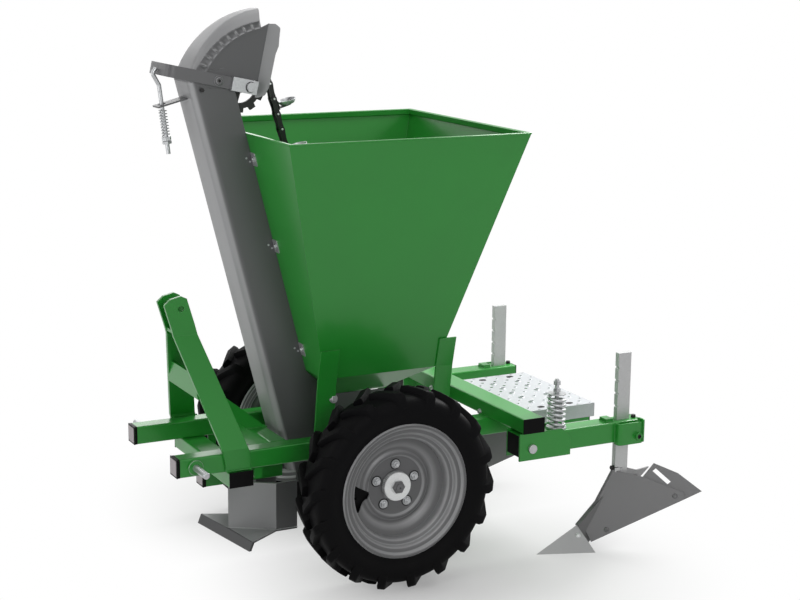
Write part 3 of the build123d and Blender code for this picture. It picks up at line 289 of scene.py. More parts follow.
def makeFinish(name, look):
    material = bpy.data.materials.new(name)
    material.use_nodes = True
    tree = material.node_tree
    base = {"Colour": (*look["colour"], 1), "Roughness": look["roughness"]}
    if "spangle" in look:
        surface = put(tree, "ShaderNodeGroup", {
            **base, "Scale": look["spangle"], "Contrast": look["contrast"]}, node_tree=zincSpangle)
    else:
        surface = put(tree, "ShaderNodeGroup", {
            **base, "Drift": look["drift"], "Drift Scale": look.get("driftScale", 4.0),
            "Peel Scale": look["peelScale"]}, node_tree=coatMottle)
    tone = surface.outputs["Colour"]
    # the side colour is painted shade on faces turned along Y
    if "side" in look:
        sheet = put(tree, "ShaderNodeGroup", {
            "Colour": base["Colour"], "Side": (*look["side"], 1)}, node_tree=sheetTone)
        wire(tree, surface, {"Colour": sheet.outputs["Colour"]})
    if "wear" in look:
        wear = put(tree, "ShaderNodeGroup", {"Width": look["wearWidth"], "Amount": look["wear"]}, node_tree=edgeWear)
        tone = mixColour(tree, wear.outputs["Mask"], tone, (*look["bare"], 1))
    if "dust" in look:
        dust = put(tree, "ShaderNodeGroup", {
            "Amount": look["dust"], "Reach": look.get("dustReach", 0.5)}, node_tree=settledDust)
        tone = mixColour(tree, dust.outputs["Mask"], tone, effects["dustColour"])
    bump = put(tree, "ShaderNodeBump", {
        "Strength": look["bump"], "Distance": look["bumpDepth"], "Height": surface.outputs["Height"]})
    if "round" in look:
        soft = put(tree, "ShaderNodeBevel", {"Radius": look["round"]}, samples=effects["samples"])
        wire(tree, bump, {"Normal": soft.outputs[0]})
    wire(tree, tree.nodes["Principled BSDF"], {
        "Base Color": tone, "Roughness": surface.outputs["Roughness"], "Normal": bump.outputs[0],
        "Metallic": look["metallic"], "Specular IOR Level": look.get("specular", 0.5),
        "Coat Weight": look.get("coat", 0), "Coat Roughness": look.get("coatRoughness", 0.1)})
    return material


finishes = {
    "greenPaint": {
        "colour": (0.019, 0.285, 0.030), "metallic": 0, "roughness": 0.34, "drift": 0.14, "peelScale": 420,
        "bump": 0.10, "bumpDepth": 0.0004, "wear": 0.45, "wearWidth": 0.0014, "bare": (0.26, 0.44, 0.27),
        "dust": 0.04, "round": 0.0022, "specular": 0.36, "coat": 0.2, "coatRoughness": 0.12,
    },
    "greyPaint": {
        "colour": (0.112, 0.113, 0.117), "metallic": 0.1, "roughness": 0.40, "drift": 0.16, "peelScale": 600,
        "bump": 0.12, "bumpDepth": 0.0003, "wear": 0.35, "wearWidth": 0.0014, "bare": (0.30, 0.30, 0.30),
        "dust": 0.05, "round": 0.002,
    },
    "zincPlate": {
        "colour": (0.46, 0.47, 0.48), "metallic": 0.6, "roughness": 0.34, "spangle": 260, "contrast": 0.12,
        "bump": 0.08, "bumpDepth": 0.0004, "dust": 0.04, "round": 0.0012,
    },
    "plankZinc": {
        "colour": (0.56, 0.57, 0.60), "metallic": 0.25, "roughness": 0.42, "spangle": 210, "contrast": 0.06,
        "bump": 0.06, "bumpDepth": 0.0003, "round": 0.0012,
    },
    "brightZinc": {
        "colour": (0.66, 0.67, 0.67), "metallic": 0.5, "roughness": 0.36, "spangle": 300, "contrast": 0.08,
        "bump": 0.08, "bumpDepth": 0.0003, "round": 0.001,
    },
    "shareSteel": {
        "colour": (0.40, 0.402, 0.405), "metallic": 0.2, "roughness": 0.42, "drift": 0.2, "peelScale": 500,
        "bump": 0.15, "bumpDepth": 0.0004, "driftScale": 12.0, "wear": 0.4, "wearWidth": 0.0016,
        "bare": (0.55, 0.55, 0.55), "round": 0.002,
    },
    "shankSteel": {
        "colour": (0.54, 0.543, 0.547), "metallic": 0.3, "roughness": 0.45, "spangle": 260, "contrast": 0.08,
        "bump": 0.12, "bumpDepth": 0.0004, "dust": 0.05, "round": 0.0015,
    },
    "blackPlastic": {
        "colour": (0.003, 0.003, 0.0035), "metallic": 0, "specular": 0.1, "roughness": 0.42, "drift": 0.2,
        "peelScale": 900, "bump": 0.15, "bumpDepth": 0.0003, "dust": 0.03, "round": 0.0015,
    },
    "tyreRubber": {
        "colour": (0.003, 0.003, 0.0036), "metallic": 0, "roughness": 0.56, "drift": 0.25, "peelScale": 700,
        "bump": 0.25, "bumpDepth": 0.0006, "driftScale": 9.0, "dust": 0.012, "dustReach": 0.7, "specular": 0.05,
    },
    "darkSteel": {
        "colour": (0.022, 0.021, 0.021), "metallic": 0.7, "roughness": 0.45, "drift": 0.4, "peelScale": 350,
        "bump": 0.3, "bumpDepth": 0.0005, "driftScale": 25.0, "wear": 0.4, "wearWidth": 0.001,
        "bare": (0.25, 0.24, 0.23),
    },
}
variants = {  # each is an earlier finish with some of its values changed
    # a lit front tone and a darker side colour: painted shade on the sides turned along Y
    "sheetPaint": ("greyPaint", {"colour": (0.34, 0.342, 0.35), "side": (0.108, 0.109, 0.113)}),
    "ridgerPaint": ("greyPaint", {"colour": (0.142, 0.142, 0.146)}),
    "strapPaint": ("greyPaint", {"colour": (0.13, 0.13, 0.135)}),
    "soleSteel": ("shareSteel", {"colour": (0.05, 0.051, 0.053), "bare": (0.16, 0.16, 0.16)}),
    "cupZinc": ("brightZinc", {"colour": (0.52, 0.53, 0.54)}),
    "chainSteel": ("darkSteel", {"colour": (0.007, 0.007, 0.0075), "metallic": 0.2, "wear": 0.2}),
    "hubZinc": ("brightZinc", {"colour": (0.88, 0.89, 0.89), "metallic": 0.2}),
    "nutSteel": ("shareSteel", {"colour": (0.14, 0.14, 0.145), "bare": (0.4, 0.4, 0.4)}),
    "plugPlastic": ("blackPlastic", {"specular": 0.06, "roughness": 0.36}),
    # black plastic painted pale for the plugs' front faces: a painted highlight and reflection
    "plugFace": ("blackPlastic", {"colour": (0.45, 0.41, 0.425), "specular": 0.3}),
    "soleTop": ("shareSteel", {"colour": (0.36, 0.362, 0.37)}),
}
for name, (source, change) in variants.items():
    finishes[name] = {**finishes[source], **change}
finish = {name: makeFinish(name, look) for name, look in finishes.items()}

nodeFinish = {
    "greenPaint": [
        "left_beam", "right_beam", "front_cross_tube", "middle_cross_tube", "rear_cross_tube", "opener_carrier_tube",
        "left_mast_leg", "right_mast_leg", "mast_ties", "mast_strut", "hopper", "hopper_brackets", "left_arm_bracket",
        "right_arm_bracket", "left_arm", "right_arm"],
    "greyPaint": ["elevator_foot", "tension_yoke", "tension_plate", "left_rim", "right_rim", "axle_bearings"],
    "ridgerPaint": [
        "left_ridger", "right_ridger", "left_outer_wing_end", "left_inner_wing_end", "right_outer_wing_end",
        "right_inner_wing_end"],
    "sheetPaint": ["chute", "hood", "opener_boot"],
    "zincPlate": [
        "lower_hitch_pins", "chute_clips", "chain_cups", "yoke_bearing_blocks", "yoke_pivot_bolts", "tension_rod",
        "tension_spring", "wheel_bolts", "step_plank", "arm_pivot_bolts", "spring_rods", "left_arm_spring",
        "right_arm_spring", "wheel_hubs", "upper_shaft", "axle"],
    "shankSteel": ["left_shank", "right_shank"],
    "shareSteel": ["left_share", "right_share"],
    "soleSteel": ["opener_sole"],
    "plugPlastic": ["tube_plugs", "left_arm_plugs", "right_arm_plugs"],
    "tyreRubber": ["left_tyre", "right_tyre"],
    "darkSteel": ["cup_chain", "upper_sprocket", "drive_sprocket"],
}
for name, members in nodeFinish.items():
    for member in members:
        nodes[member].data.materials.clear()
        nodes[member].data.materials.append(finish[name])
print("finishes:", len(finish), "on", sum(len(members) for members in nodeFinish.values()), "nodes")


# Mesh tools
def newObject(name, bm, angle=35, outward=True):
    if outward:
        bmesh.ops.recalc_face_normals(bm, faces=bm.faces)
    mesh = bpy.data.meshes.new(name)
    bm.to_mesh(mesh)
    bm.free()
    mesh.polygons.foreach_set("use_smooth", [True] * len(mesh.polygons))
    mesh.set_sharp_from_angle(angle=math.radians(angle))
    return addObject(name, mesh)


def mount(piece, body, slot, *stoodFor):
    if body:  # a piece with no body is not attached
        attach(piece, body)
    if stoodFor:
        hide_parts(*stoodFor)
    return piece


def newPiece(name, bm, finishName, body, slot, *stoodFor, angle=35, outward=True):
    piece = newObject(name, bm, angle, outward)
    piece.data.materials.append(finish[finishName])
    return mount(piece, body, slot, *stoodFor)


def scrap(*pieces):
    for piece in pieces:
        bpy.data.objects.remove(piece)


def ring(radius, count, start=0.0):
    turns = [start + 2 * math.pi * k / count for k in range(count)]
    return [(radius * math.cos(turn), radius * math.sin(turn)) for turn in turns]


def oblong(u0, u1, v0, v1):
    return [(u0, v0), (u1, v0), (u1, v1), (u0, v1)]


def mirrored(line):  # a line that ends on the middle, with its mirror image
    return line + [(r, -y) for r, y in reversed(line[:-1])]


def softLine(points, radius, steps, closed=False, most=0.49):  # rounds corners, each taking at most that much of a side
    count = len(points)
    result = []
    for k, point in enumerate(points):
        if not closed and k in (0, count - 1):
            result.append(tuple(point))
            continue
        here = Vector(point)
        before, after = Vector(points[k - 1]) - here, Vector(points[(k + 1) % count]) - here
        reach = min(radius / math.tan(before.angle(after) / 2), before.length * most, after.length * most)
        start, end = here + before.normalized() * reach, here + after.normalized() * reach
        for step in range(steps + 1):
            t = step / steps
            result.append(tuple(start * (1 - t) ** 2 + here * (2 * t * (1 - t)) + end * t ** 2))
    return result


def softBox(u0, u1, v0, v1, radius, steps=4):
    return softLine(oblong(u0, u1, v0, v1), radius, steps, closed=True)


def thicken(profile, skin):  # a closed section from a surface line
    back = []
    for k, (r, y) in enumerate(profile):
        before, after = profile[max(k - 1, 0)], profile[min(k + 1, len(profile) - 1)]
        dr, dy = after[0] - before[0], after[1] - before[1]
        size = math.hypot(dr, dy)
        back.append((r - dy / size * skin, y + dr / size * skin))
    return profile + list(reversed(back))


def seedSpot(u, v, w):  # the places that slab asks for: u and v in the outline, w along its depth
    return Vector((u, v, w)) / 1000


def sideways(u, v, w):
    return spot(u, w, v)


def axial(middle, side):
    return lambda u, v, w: middle + Vector((u, side * w, v)) / 1000


def slab(bm, outline, low, high, where):
    top = [bm.verts.new(where(u, v, high)) for u, v in outline]
    under = [bm.verts.new(where(u, v, low)) for u, v in outline]
    bm.faces.new(top)
    bm.faces.new(list(reversed(under)))
    for k in range(len(outline)):
        j = (k + 1) % len(outline)
        bm.faces.new((top[j], top[k], under[k], under[j]))


def stitch(bm, rings, closed=False):  # joins rows of points, each row closed in itself
    rows = [[bm.verts.new(point) for point in row] for row in rings]
    count = len(rows[0])
    faces = []
    for here, ahead in zip(rows, rows[1:] + rows[:1] if closed else rows[1:]):
        for k in range(count):
            j = (k + 1) % count
            faces.append(bm.faces.new((here[k], here[j], ahead[j], ahead[k])))
    if not closed:
        faces += [bm.faces.new(list(reversed(rows[0]))), bm.faces.new(rows[-1])]
    return faces


def lathe(bm, profile, centre, steps, side=1, closed=True):  # profile of (radius, y), turned about a line along Y
    rings = []
    for x, z in ring(1, steps):
        rings.append([bm.verts.new(centre + Vector((r * x, side * y, r * z)) / 1000) for r, y in profile])
    count = len(profile)
    for here, ahead in zip(rings, rings[1:] + rings[:1]):
        for k in range(count if closed else count - 1):
            j = (k + 1) % count
            bm.faces.new((here[k], here[j], ahead[j], ahead[k]))


def cleanMesh(bm):
    bmesh.ops.remove_doubles(bm, verts=bm.verts, dist=1e-6)
    bmesh.ops.dissolve_degenerate(bm, edges=bm.edges, dist=1e-7)


def turnPart(bm, angle, axis, shift=(0, 0, 0)):
    bmesh.ops.rotate(bm, verts=bm.verts, cent=(0, 0, 0), matrix=Matrix.Rotation(angle, 3, axis))
    bmesh.ops.translate(bm, verts=bm.verts, vec=Vector(shift) / 1000)


def hexHead(bm, radius, low, high, where, chamfer=0.14):
    drop = radius * chamfer
    slab(bm, ring(radius, 6), low, high - drop, where)
    tip = [bm.verts.new(where(u, v, high)) for u, v in ring(radius * (1 - chamfer), 6)]
    edge = [bm.verts.new(where(u, v, high - drop)) for u, v in ring(radius, 6)]
    bm.faces.new(tip)
    for k in range(6):
        bm.faces.new((edge[k], edge[(k + 1) % 6], tip[(k + 1) % 6], tip[k]))


# Geometry nodes for what repeats
def newTree(name, **inputs):
    tree = bpy.data.node_groups.new(name, "GeometryNodeTree")
    for way in ("OUTPUT", "INPUT"):
        tree.interface.new_socket(name="Geometry", in_out=way, socket_type="NodeSocketGeometry")
    for label, kind in (*inputs.items(), ("Material", "Material")):
        tree.interface.new_socket(name=label, in_out="INPUT", socket_type="NodeSocket" + kind)
    return tree, tree.nodes.new("NodeGroupInput").outputs


def closeTree(tree, enter, geometry):
    realize = put(tree, "GeometryNodeRealizeInstances", {"Geometry": geometry})
    paint = put(tree, "GeometryNodeSetMaterial", {
        "Geometry": realize.outputs["Geometry"], "Material": enter["Material"]})
    put(tree, "NodeGroupOutput", {"Geometry": paint.outputs["Geometry"]})
    return tree


def addCopies(tree, points, part, **more):
    values = {"Points": points, "Instance": part, **more}
    return put(tree, "GeometryNodeInstanceOnPoints", values).outputs[0]


def makeRingTree():  # copies of one part round a line along Y
    tree, enter = newTree("ringOfParts", Count="Int", Start="Float", Centre="Vector")
    points = put(tree, "GeometryNodePoints", {"Count": enter["Count"], "Position": enter["Centre"]}).outputs[0]
    index = put(tree, "GeometryNodeInputIndex").outputs[0]
    turned = addMath(tree, "MULTIPLY", index, addMath(tree, "DIVIDE", 2 * math.pi, enter["Count"]))
    turn = put(tree, "ShaderNodeCombineXYZ", {"Y": addMath(tree, "ADD", turned, enter["Start"])}).outputs[0]
    return closeTree(tree, enter, addCopies(tree, points, enter["Geometry"], Rotation=turn))


def makeGridTree():  # rows of one part on a flat sheet
    tree, enter = newTree("gridOfParts", Columns="Int", Rows="Int", Pitch="Float", Advance="Float", Corner="Vector")
    index = put(tree, "GeometryNodeInputIndex").outputs[0]
    row = addMath(tree, "FLOOR", addMath(tree, "DIVIDE", index, enter["Columns"]))
    column = addMath(tree, "MODULO", index, enter["Columns"])
    place = put(tree, "ShaderNodeCombineXYZ", {
        "X": addMath(tree, "MULTIPLY", row, enter["Advance"]), "Y": addMath(tree, "MULTIPLY", column, enter["Pitch"])})
    points = put(tree, "GeometryNodePoints", {
        "Count": addMath(tree, "MULTIPLY", enter["Columns"], enter["Rows"]),
        "Position": put(tree, "ShaderNodeVectorMath", {0: place.outputs[0], 1: enter["Corner"]}).outputs[0]}).outputs[0]
    return closeTree(tree, enter, addCopies(tree, points, enter["Geometry"]))


def makePathTree():  # parts along a closed path, each turned from its own start towards its own end
    tree, enter = newTree("partsAlongPath", Part="Object", Count="Int", First="Float", Step="Float", Span="Float")
    curve = put(tree, "GeometryNodeMeshToCurve", {"Mesh": enter["Geometry"]}).outputs[0]
    length = put(tree, "GeometryNodeCurveLength", {0: curve}).outputs[0]
    index = put(tree, "GeometryNodeInputIndex").outputs[0]
    start = addMath(tree, "ADD", addMath(tree, "MULTIPLY", index, enter["Step"]), enter["First"])
    tail, head = (put(tree, "GeometryNodeSampleCurve", {
        "Curves": curve, "Length": addMath(tree, "FLOORED_MODULO", value, length)}, mode="LENGTH").outputs["Position"]
        for value in (start, addMath(tree, "ADD", start, enter["Span"])))
    ahead = put(tree, "ShaderNodeVectorMath", {0: head, 1: tail}, operation="SUBTRACT").outputs[0]
    align = put(tree, "FunctionNodeAlignRotationToVector", {"Vector": ahead}, axis="X", pivot_axis="Y").outputs[0]
    points = put(tree, "GeometryNodePoints", {"Count": enter["Count"], "Position": tail}).outputs[0]
    part = put(tree, "GeometryNodeObjectInfo", {"Object": enter["Part"]}).outputs["Geometry"]
    return closeTree(tree, enter, addCopies(tree, points, part, Rotation=align))


def makeSetTree():  # one part on each marked point, turned as the point's own turn says
    tree, enter = newTree("partsOnMarks", Part="Object")
    turn = put(tree, "GeometryNodeInputNamedAttribute", {"Name": "turn"}, data_type="FLOAT_VECTOR").outputs[0]
    part = put(tree, "GeometryNodeObjectInfo", {"Object": enter["Part"]}).outputs["Geometry"]
    return closeTree(tree, enter, addCopies(tree, enter["Geometry"], part, Rotation=turn))


coilSteps = {"turn": 40, "wire": 14}
ripples = {
    "size": ((0.8, 0.8, 0.7), (1.15, 1.1, 1.0)), "spin": ((0, 0, 0), (6.28, 6.28, 6.28)), "ball": 1, "spacing": 1.1,
}


def makeCoilTree():  # a round wire wound evenly from foot to head
    tree, enter = newTree(
        "coilSpring", Turns="Float", Radius="Float", Height="Float", Wire="Float", Foot="Vector", Lean="Vector")
    spiral = put(tree, "GeometryNodeCurveSpiral", {
        "Resolution": coilSteps["turn"], "Rotations": enter["Turns"], "Start Radius": enter["Radius"],
        "End Radius": enter["Radius"], "Height": enter["Height"]}).outputs[0]
    section = put(tree, "GeometryNodeCurvePrimitiveCircle", {
        "Resolution": coilSteps["wire"], "Radius": addMath(tree, "MULTIPLY", enter["Wire"], 0.5)}).outputs[0]
    coil = put(tree, "GeometryNodeCurveToMesh", {"Curve": spiral, "Profile Curve": section, "Fill Caps": True})
    move = put(tree, "GeometryNodeTransform", {
        "Geometry": coil.outputs[0], "Translation": enter["Foot"], "Rotation": enter["Lean"]})
    return closeTree(tree, enter, move.outputs[0])


def makeSeamTree():  # a weld: overlapping ripples along each line
    tree, enter = newTree("weldSeam", Spacing="Float", Size="Float", Seed="Int")
    curve = put(tree, "GeometryNodeMeshToCurve", {"Mesh": enter["Geometry"]}).outputs[0]
    steps = put(tree, "GeometryNodeResampleCurve", {"Curve": curve, "Length": enter["Spacing"]}, mode="LENGTH")
    ripple = put(tree, "GeometryNodeMeshIcoSphere", {
        "Subdivisions": ripples["ball"], "Radius": enter["Size"]}).outputs["Mesh"]
    vary, spin = (put(tree, "FunctionNodeRandomValue", {
        "Min": low, "Max": high, "Seed": enter["Seed"]}, data_type="FLOAT_VECTOR").outputs["Value"]
        for low, high in (ripples["size"], ripples["spin"]))
    copies = addCopies(tree, steps.outputs[0], ripple, Scale=vary, Rotation=spin)
    return closeTree(tree, enter, put(tree, "GeometryNodeSetShadeSmooth", {"Geometry": copies}).outputs[0])


ringTree, gridTree, pathTree = makeRingTree(), makeGridTree(), makePathTree()
setTree, coilTree, seamTree = makeSetTree(), makeCoilTree(), makeSeamTree()


def growNodes(piece, tree, finishName, **values):  # runs the tree on a piece and keeps its result as a plain mesh
    values["Material"] = finish[finishName]
    modifier = piece.modifiers.new("grow", "NODES")
    modifier.node_group = tree
    for item in tree.interface.items_tree:
        if item.item_type == "SOCKET" and item.in_out == "INPUT" and item.name in values:
            modifier[item.identifier] = values[item.name]
    graph = bpy.context.evaluated_depsgraph_get()
    mesh = bpy.data.meshes.new_from_object(piece.evaluated_get(graph), preserve_all_data_layers=True, depsgraph=graph)
    piece.modifiers.remove(modifier)
    mesh.name = piece.name
    piece.data = mesh
    return piece


def pointMesh(name, marks):  # marks are (point, turn)
    mesh = bpy.data.meshes.new(name)
    mesh.from_pydata([point for point, turn in marks], [], [])
    turns = mesh.attributes.new("turn", "FLOAT_VECTOR", "POINT")
    turns.data.foreach_set("vector", [value for point, turn in marks for value in turn])
    return addObject(name, mesh)


def lineMesh(name, lines, closed=False):
    mesh = bpy.data.meshes.new(name)
    points, edges = [], []
    for line in lines:
        first = len(points)
        points += [spot(*point) for point in line]
        edges += [(k, k + 1) for k in range(first, len(points) - 1)]
        if closed:
            edges.append((len(points) - 1, first))
    mesh.from_pydata(points, edges, [])
    return addObject(name, mesh)


def setParts(name, part, marks, finishName, body, slot, *stoodFor):
    return mount(growNodes(pointMesh(name, marks), setTree, finishName, Part=part), body, slot, *stoodFor)


def facing(direction):  # turn that points a part's own Z along a direction
    return tuple(Vector(direction).to_track_quat("Z", "Y").to_euler())


def growCoil(name, size, foot, lean):
    return growNodes(
        pointMesh(name, [((0, 0, 0), (0, 0, 0))]), coilTree, "zincPlate", Turns=float(size["turns"]),
        Radius=size["radius"] / 1000, Wire=size["wire"] / 1000, Height=(size["length"] - size["wire"]) / 1000,
        Foot=foot, Lean=lean)


def weld(name, lines, size, finishName, body, slot, seed):
    piece = growNodes(
        lineMesh(name, lines), seamTree, finishName, Spacing=size * ripples["spacing"] / 1000, Size=size / 1000,
        Seed=seed)
    return mount(piece, body, slot)


bothHands = (("left", 1), ("right", -1))

# Tyres: a carcass with chevron lugs, apex leading at the top
wheel = {"axle": 327, "middle": 432}
tyre = {
    "lugs": 18, "first": 0.06, "lead": 12.5, "leadEnd": 70, "leadBend": 0.85, "top": 327, "shoulder": (60, 323.5),
    "crown": (2, 12, 24, 36, 48, 57), "flank": [(63, 320), (68.5, 309), (72, 292), (72.4, 280)], "foot": 18,
    "crest": 13, "bevel": 1.5, "slope": 0.16, "spread": 300, "sink": 5, "waist": (262, 276), "wall": (9, 8),
    "lined": 230, "steps": 96,
}
carcass = [
    (193, 58), (204, 60), (216, 61.5), (219, 63), (223, 64.5), (226, 63.5), (240, 68), (252, 71), (262, 72.5),
    (275, 72), (287, 68.5), (296, 62.5), (302, 53), (305, 40), (306.5, 20), (307, 0),
]


def lugStations():
    edge, low = tyre["shoulder"]
    return [(y, tyre["top"] - (tyre["top"] - low) * (y / edge) ** 2) for y in tyre["crown"]] + tyre["flank"]


def carcassRadius(y):
    waist, least = tyre["waist"]
    return max([r for r, width in carcass if r > waist and width >= y], default=least)


def buildLug(bm, side, shift):
    foot, crest, bevel = tyre["foot"], tyre["crest"], tyre["bevel"]
    rows = []
    for y, top in lugStations():
        base = min(carcassRadius(y) - tyre["sink"], top - 1)
        lead = math.radians(tyre["lead"]) * max(1 - (y / tyre["leadEnd"]) ** tyre["leadBend"], 0) + shift
        edge = top - (top - base) * tyre["slope"]
        row = []
        for along, radius in ((-foot, base), (-crest - bevel, edge), (-crest + bevel, top), (crest - bevel, top),
                              (crest + bevel, edge), (foot, base)):
            turn = lead + along / tyre["spread"]
            row.append(bm.verts.new(Vector((radius * math.sin(turn), side * y, radius * math.cos(turn))) / 1000))
        rows.append(row)
    for here, ahead in zip(rows, rows[1:]):
        for k in range(len(here) - 1):
            bm.faces.new((here[k], here[k + 1], ahead[k + 1], ahead[k]))
    bm.faces.new(rows[0])
    bm.faces.new(list(reversed(rows[-1])))


def makeTyre(name, side, node):
    middle = spot(0, side * wheel["middle"], wheel["axle"])
    lugs = bmesh.new()
    buildLug(lugs, 1, 0)
    buildLug(lugs, -1, math.pi / tyre["lugs"])
    tread = growNodes(
        newObject(name + "Tread", lugs), ringTree, "tyreRubber", Count=tyre["lugs"], Start=tyre["first"], Centre=middle)
    bm = bmesh.new()
    deep, wide = tyre["wall"]
    inner = [(r - deep, y - wide) for r, y in carcass if r > tyre["lined"]]
    lathe(bm, mirrored(carcass) + list(reversed(mirrored(inner))), middle, tyre["steps"])
    cleanMesh(bm)
    bm.from_mesh(tread.data)
    scrap(tread)
    newPiece(name, bm, "tyreRubber", "wheel_axle", "tyre", node, angle=40)


for label, side in bothHands:
    makeTyre(label + "TyreTreaded", side, label + "_tyre")
print("tyres:", tyre["lugs"] * 2, "lugs each")

# Rims: a rolled barrel, a pressed disc with a valve gap, bolts, hub face and nut
rimBarrel = [
    (210, 59), (214, 61.5), (215.5, 64), (213.5, 66.5), (209, 66), (205.5, 62.5), (203.5, 58.5), (199, 56.5),
    (191, 56), (187.5, 53.5), (185.5, 48), (183.5, 42.5), (179, 39.5), (173, 38.5), (168, 35.5), (165.5, 30),
    (164.5, 22), (163.5, 0),
]
rimDisc = [
    (164.5, 12), (158, 10), (150, 8.5), (141, 5), (132, -1), (125, -6), (119.5, -7.5), (115, -5.5), (110.5, -2),
    (106, 0), (102, -0.5), (98.5, -3.5), (96, -7), (93.5, -8), (84, -8), (60, -8), (49, -8),
]
rim = {
    "steps": 120, "skin": 3.0, "gap": (92, 158.5), "gapTurn": 351.5, "gapHalf": 19, "gapSteps": 12,
    "gapTip": 0.1, "gapBend": 0.8,
}
valve = {
    "patch": [(88, 0.09), (110, 0.26), (140, 0.36), (161, 0.40)], "patchDepth": (-17, -12), "stemAt": 148, "stem": 5,
    "stemDepth": (-13, 18),
}
hub = {
    "profile": [(0.01, 424), (47, 424), (47, 440.5), (45.5, 442.5), (24, 442.5), (24, 445), (0.01, 445)],
    "nut": (21, 444.5, 456), "stub": [(0.01, 452), (2.5, 452), (3.5, 460), (12, 460), (13.2, 458.5), (13.2, 452)],
    "bolts": 5, "circle": 70, "boltFace": 424, "across": 12, "head": 11, "washer": 14.5,
    # seat sizes the black discs of painted shade round the bolts
    "washerEnds": (-0.5, 1.8), "tip": 6, "tipEnds": (-1, 5), "seat": 18, "boltShadeEnds": (-0.6, 0.7),
}


def gapTurns(radius):  # the disc's steps, the first ones across the gap
    low, high = rim["gap"]
    share = min(max((radius - low) / (high - low), 0), 1)
    half = math.radians(rim["gapHalf"]) * (rim["gapTip"] + (1 - rim["gapTip"]) * share ** rim["gapBend"])
    inside = rim["gapSteps"]
    rest = rim["steps"] - inside
    turns = [-half + 2 * half * k / inside for k in range(inside)]
    turns += [half + (2 * math.pi - 2 * half) * k / rest for k in range(rest)]
    return [math.radians(rim["gapTurn"]) + turn for turn in turns]


def makeRim(name, side, node):
    middle = spot(0, side * wheel["middle"], wheel["axle"])
    bm = bmesh.new()
    lathe(bm, thicken(mirrored(rimBarrel), -rim["skin"]), middle, rim["steps"], side)
    section = thicken(rimDisc, rim["skin"])
    rows = [[bm.verts.new(middle + Vector((r * math.cos(turn), side * y, r * math.sin(turn))) / 1000)
             for turn in gapTurns(r)] for r, y in section]
    low, high = rim["gap"]
    count = len(section)
    for k in range(count):
        j = (k + 1) % count
        pierced = low < (section[k][0] + section[j][0]) / 2 < high
        for step in range(rim["gapSteps"] if pierced else 0, rim["steps"]):
            after = (step + 1) % rim["steps"]
            bm.faces.new((rows[k][step], rows[k][after], rows[j][after], rows[j][step]))
    newPiece(name, bm, "sheetPaint", "wheel_axle", "grey_paint", node, angle=50)


def makeValve(name, side):  # the tube's rubber valve patch and stem behind the gap
    turn = math.radians(rim["gapTurn"])
    where = axial(spot(0, side * wheel["middle"], wheel["axle"]), side)
    start, *rest = valve["patch"]
    polar = [(start[0], -start[1]), start] + rest + [(r, -a) for r, a in reversed(rest)]
    bm = bmesh.new()
    slab(bm, [(r * math.cos(turn + a), r * math.sin(turn + a)) for r, a in polar], *valve["patchDepth"], where)
    x, z = valve["stemAt"] * math.cos(turn), valve["stemAt"] * math.sin(turn)
    slab(bm, [(x + u, z + v) for u, v in ring(valve["stem"], 12)], *valve["stemDepth"], where)
    newPiece(name, bm, "tyreRubber", "wheel_axle", "tyre")


def makeHub(name, side):
    middle = spot(0, 0, wheel["axle"])
    where = axial(middle, side)
    bm, nut, boltShade = bmesh.new(), bmesh.new(), bmesh.new()
    lathe(bm, hub["profile"], middle, 64, side, closed=False)
    cleanMesh(bm)
    newPiece(name, bm, "hubZinc", "wheel_axle", "zinc")
    hexHead(nut, *hub["nut"], where)
    lathe(nut, hub["stub"], middle, 32, side, closed=False)
    cleanMesh(nut)
    newPiece(name + "Nut", nut, "nutSteel", "wheel_axle", "zinc")
    # black discs round each bolt: painted shade in and round the bolts' clearance holes
    low, high = (hub["boltFace"] + end for end in hub["boltShadeEnds"])
    for x, z in ring(hub["circle"], hub["bolts"], math.pi / 2):
        slab(boltShade, [(x + u, z + v) for u, v in ring(hub["seat"], 24)], low, high, where)
    newPiece(name + "Seats", boltShade, "blackPlastic", "wheel_axle", "dark_steel")


def makeWheelBolts(name):
    whole = bmesh.new()
    for side in (1, -1):
        head = bmesh.new()
        where = axial(Vector((0, 0, hub["circle"] / 1000)), side)
        hexHead(head, hub["across"], 0, hub["head"], where)
        slab(head, ring(hub["washer"], 20), *hub["washerEnds"], where)
        slab(head, ring(hub["tip"], 12), *(hub["head"] + end for end in hub["tipEnds"]), where)
        bolts = growNodes(
            newObject("boltSeed", head, 30), ringTree, "zincPlate", Count=hub["bolts"], Start=0.0,
            Centre=spot(0, side * hub["boltFace"], wheel["axle"]))
        whole.from_mesh(bolts.data)
        scrap(bolts)
    newPiece(name, whole, "zincPlate", "wheel_axle", "zinc", "wheel_bolts", angle=30, outward=False)


for label, side in bothHands:
    makeRim(label + "RimPressed", side, label + "_rim")
    makeValve(label + "Valve", side)
    makeHub(label + "HubNose", side)
makeWheelBolts("wheelBoltHeads")
print("rims, hubs and bolts")

# Step plank: zinc sheet with rows of raised collars and small eyes in turn, folded skirts and black slot slabs of
# painted shade
plank = {
    "front": -537, "rear": -878, "half": 234, "deck": 445, "skirt": 48, "lip": 24, "skirtFrom": 12, "inside": 400,
    "pitch": 65, "rows": 52, "firstRow": -580, "across": 7, "deep": 3, "facets": 24,
    "collar": [(11.5, 0), (9.9, 2.56), (8.8, 3.2), (8, 2.4), (8, -3)], "eye": [(6.4, 0), (5.2, 1.3), (4, 1.0), (4, -3)],
    "slot": (28, 20), "slotRows": (-680, -796), "slotY": 200, "slotClear": 20, "slotDepth": (-1.0, 0.5),
}


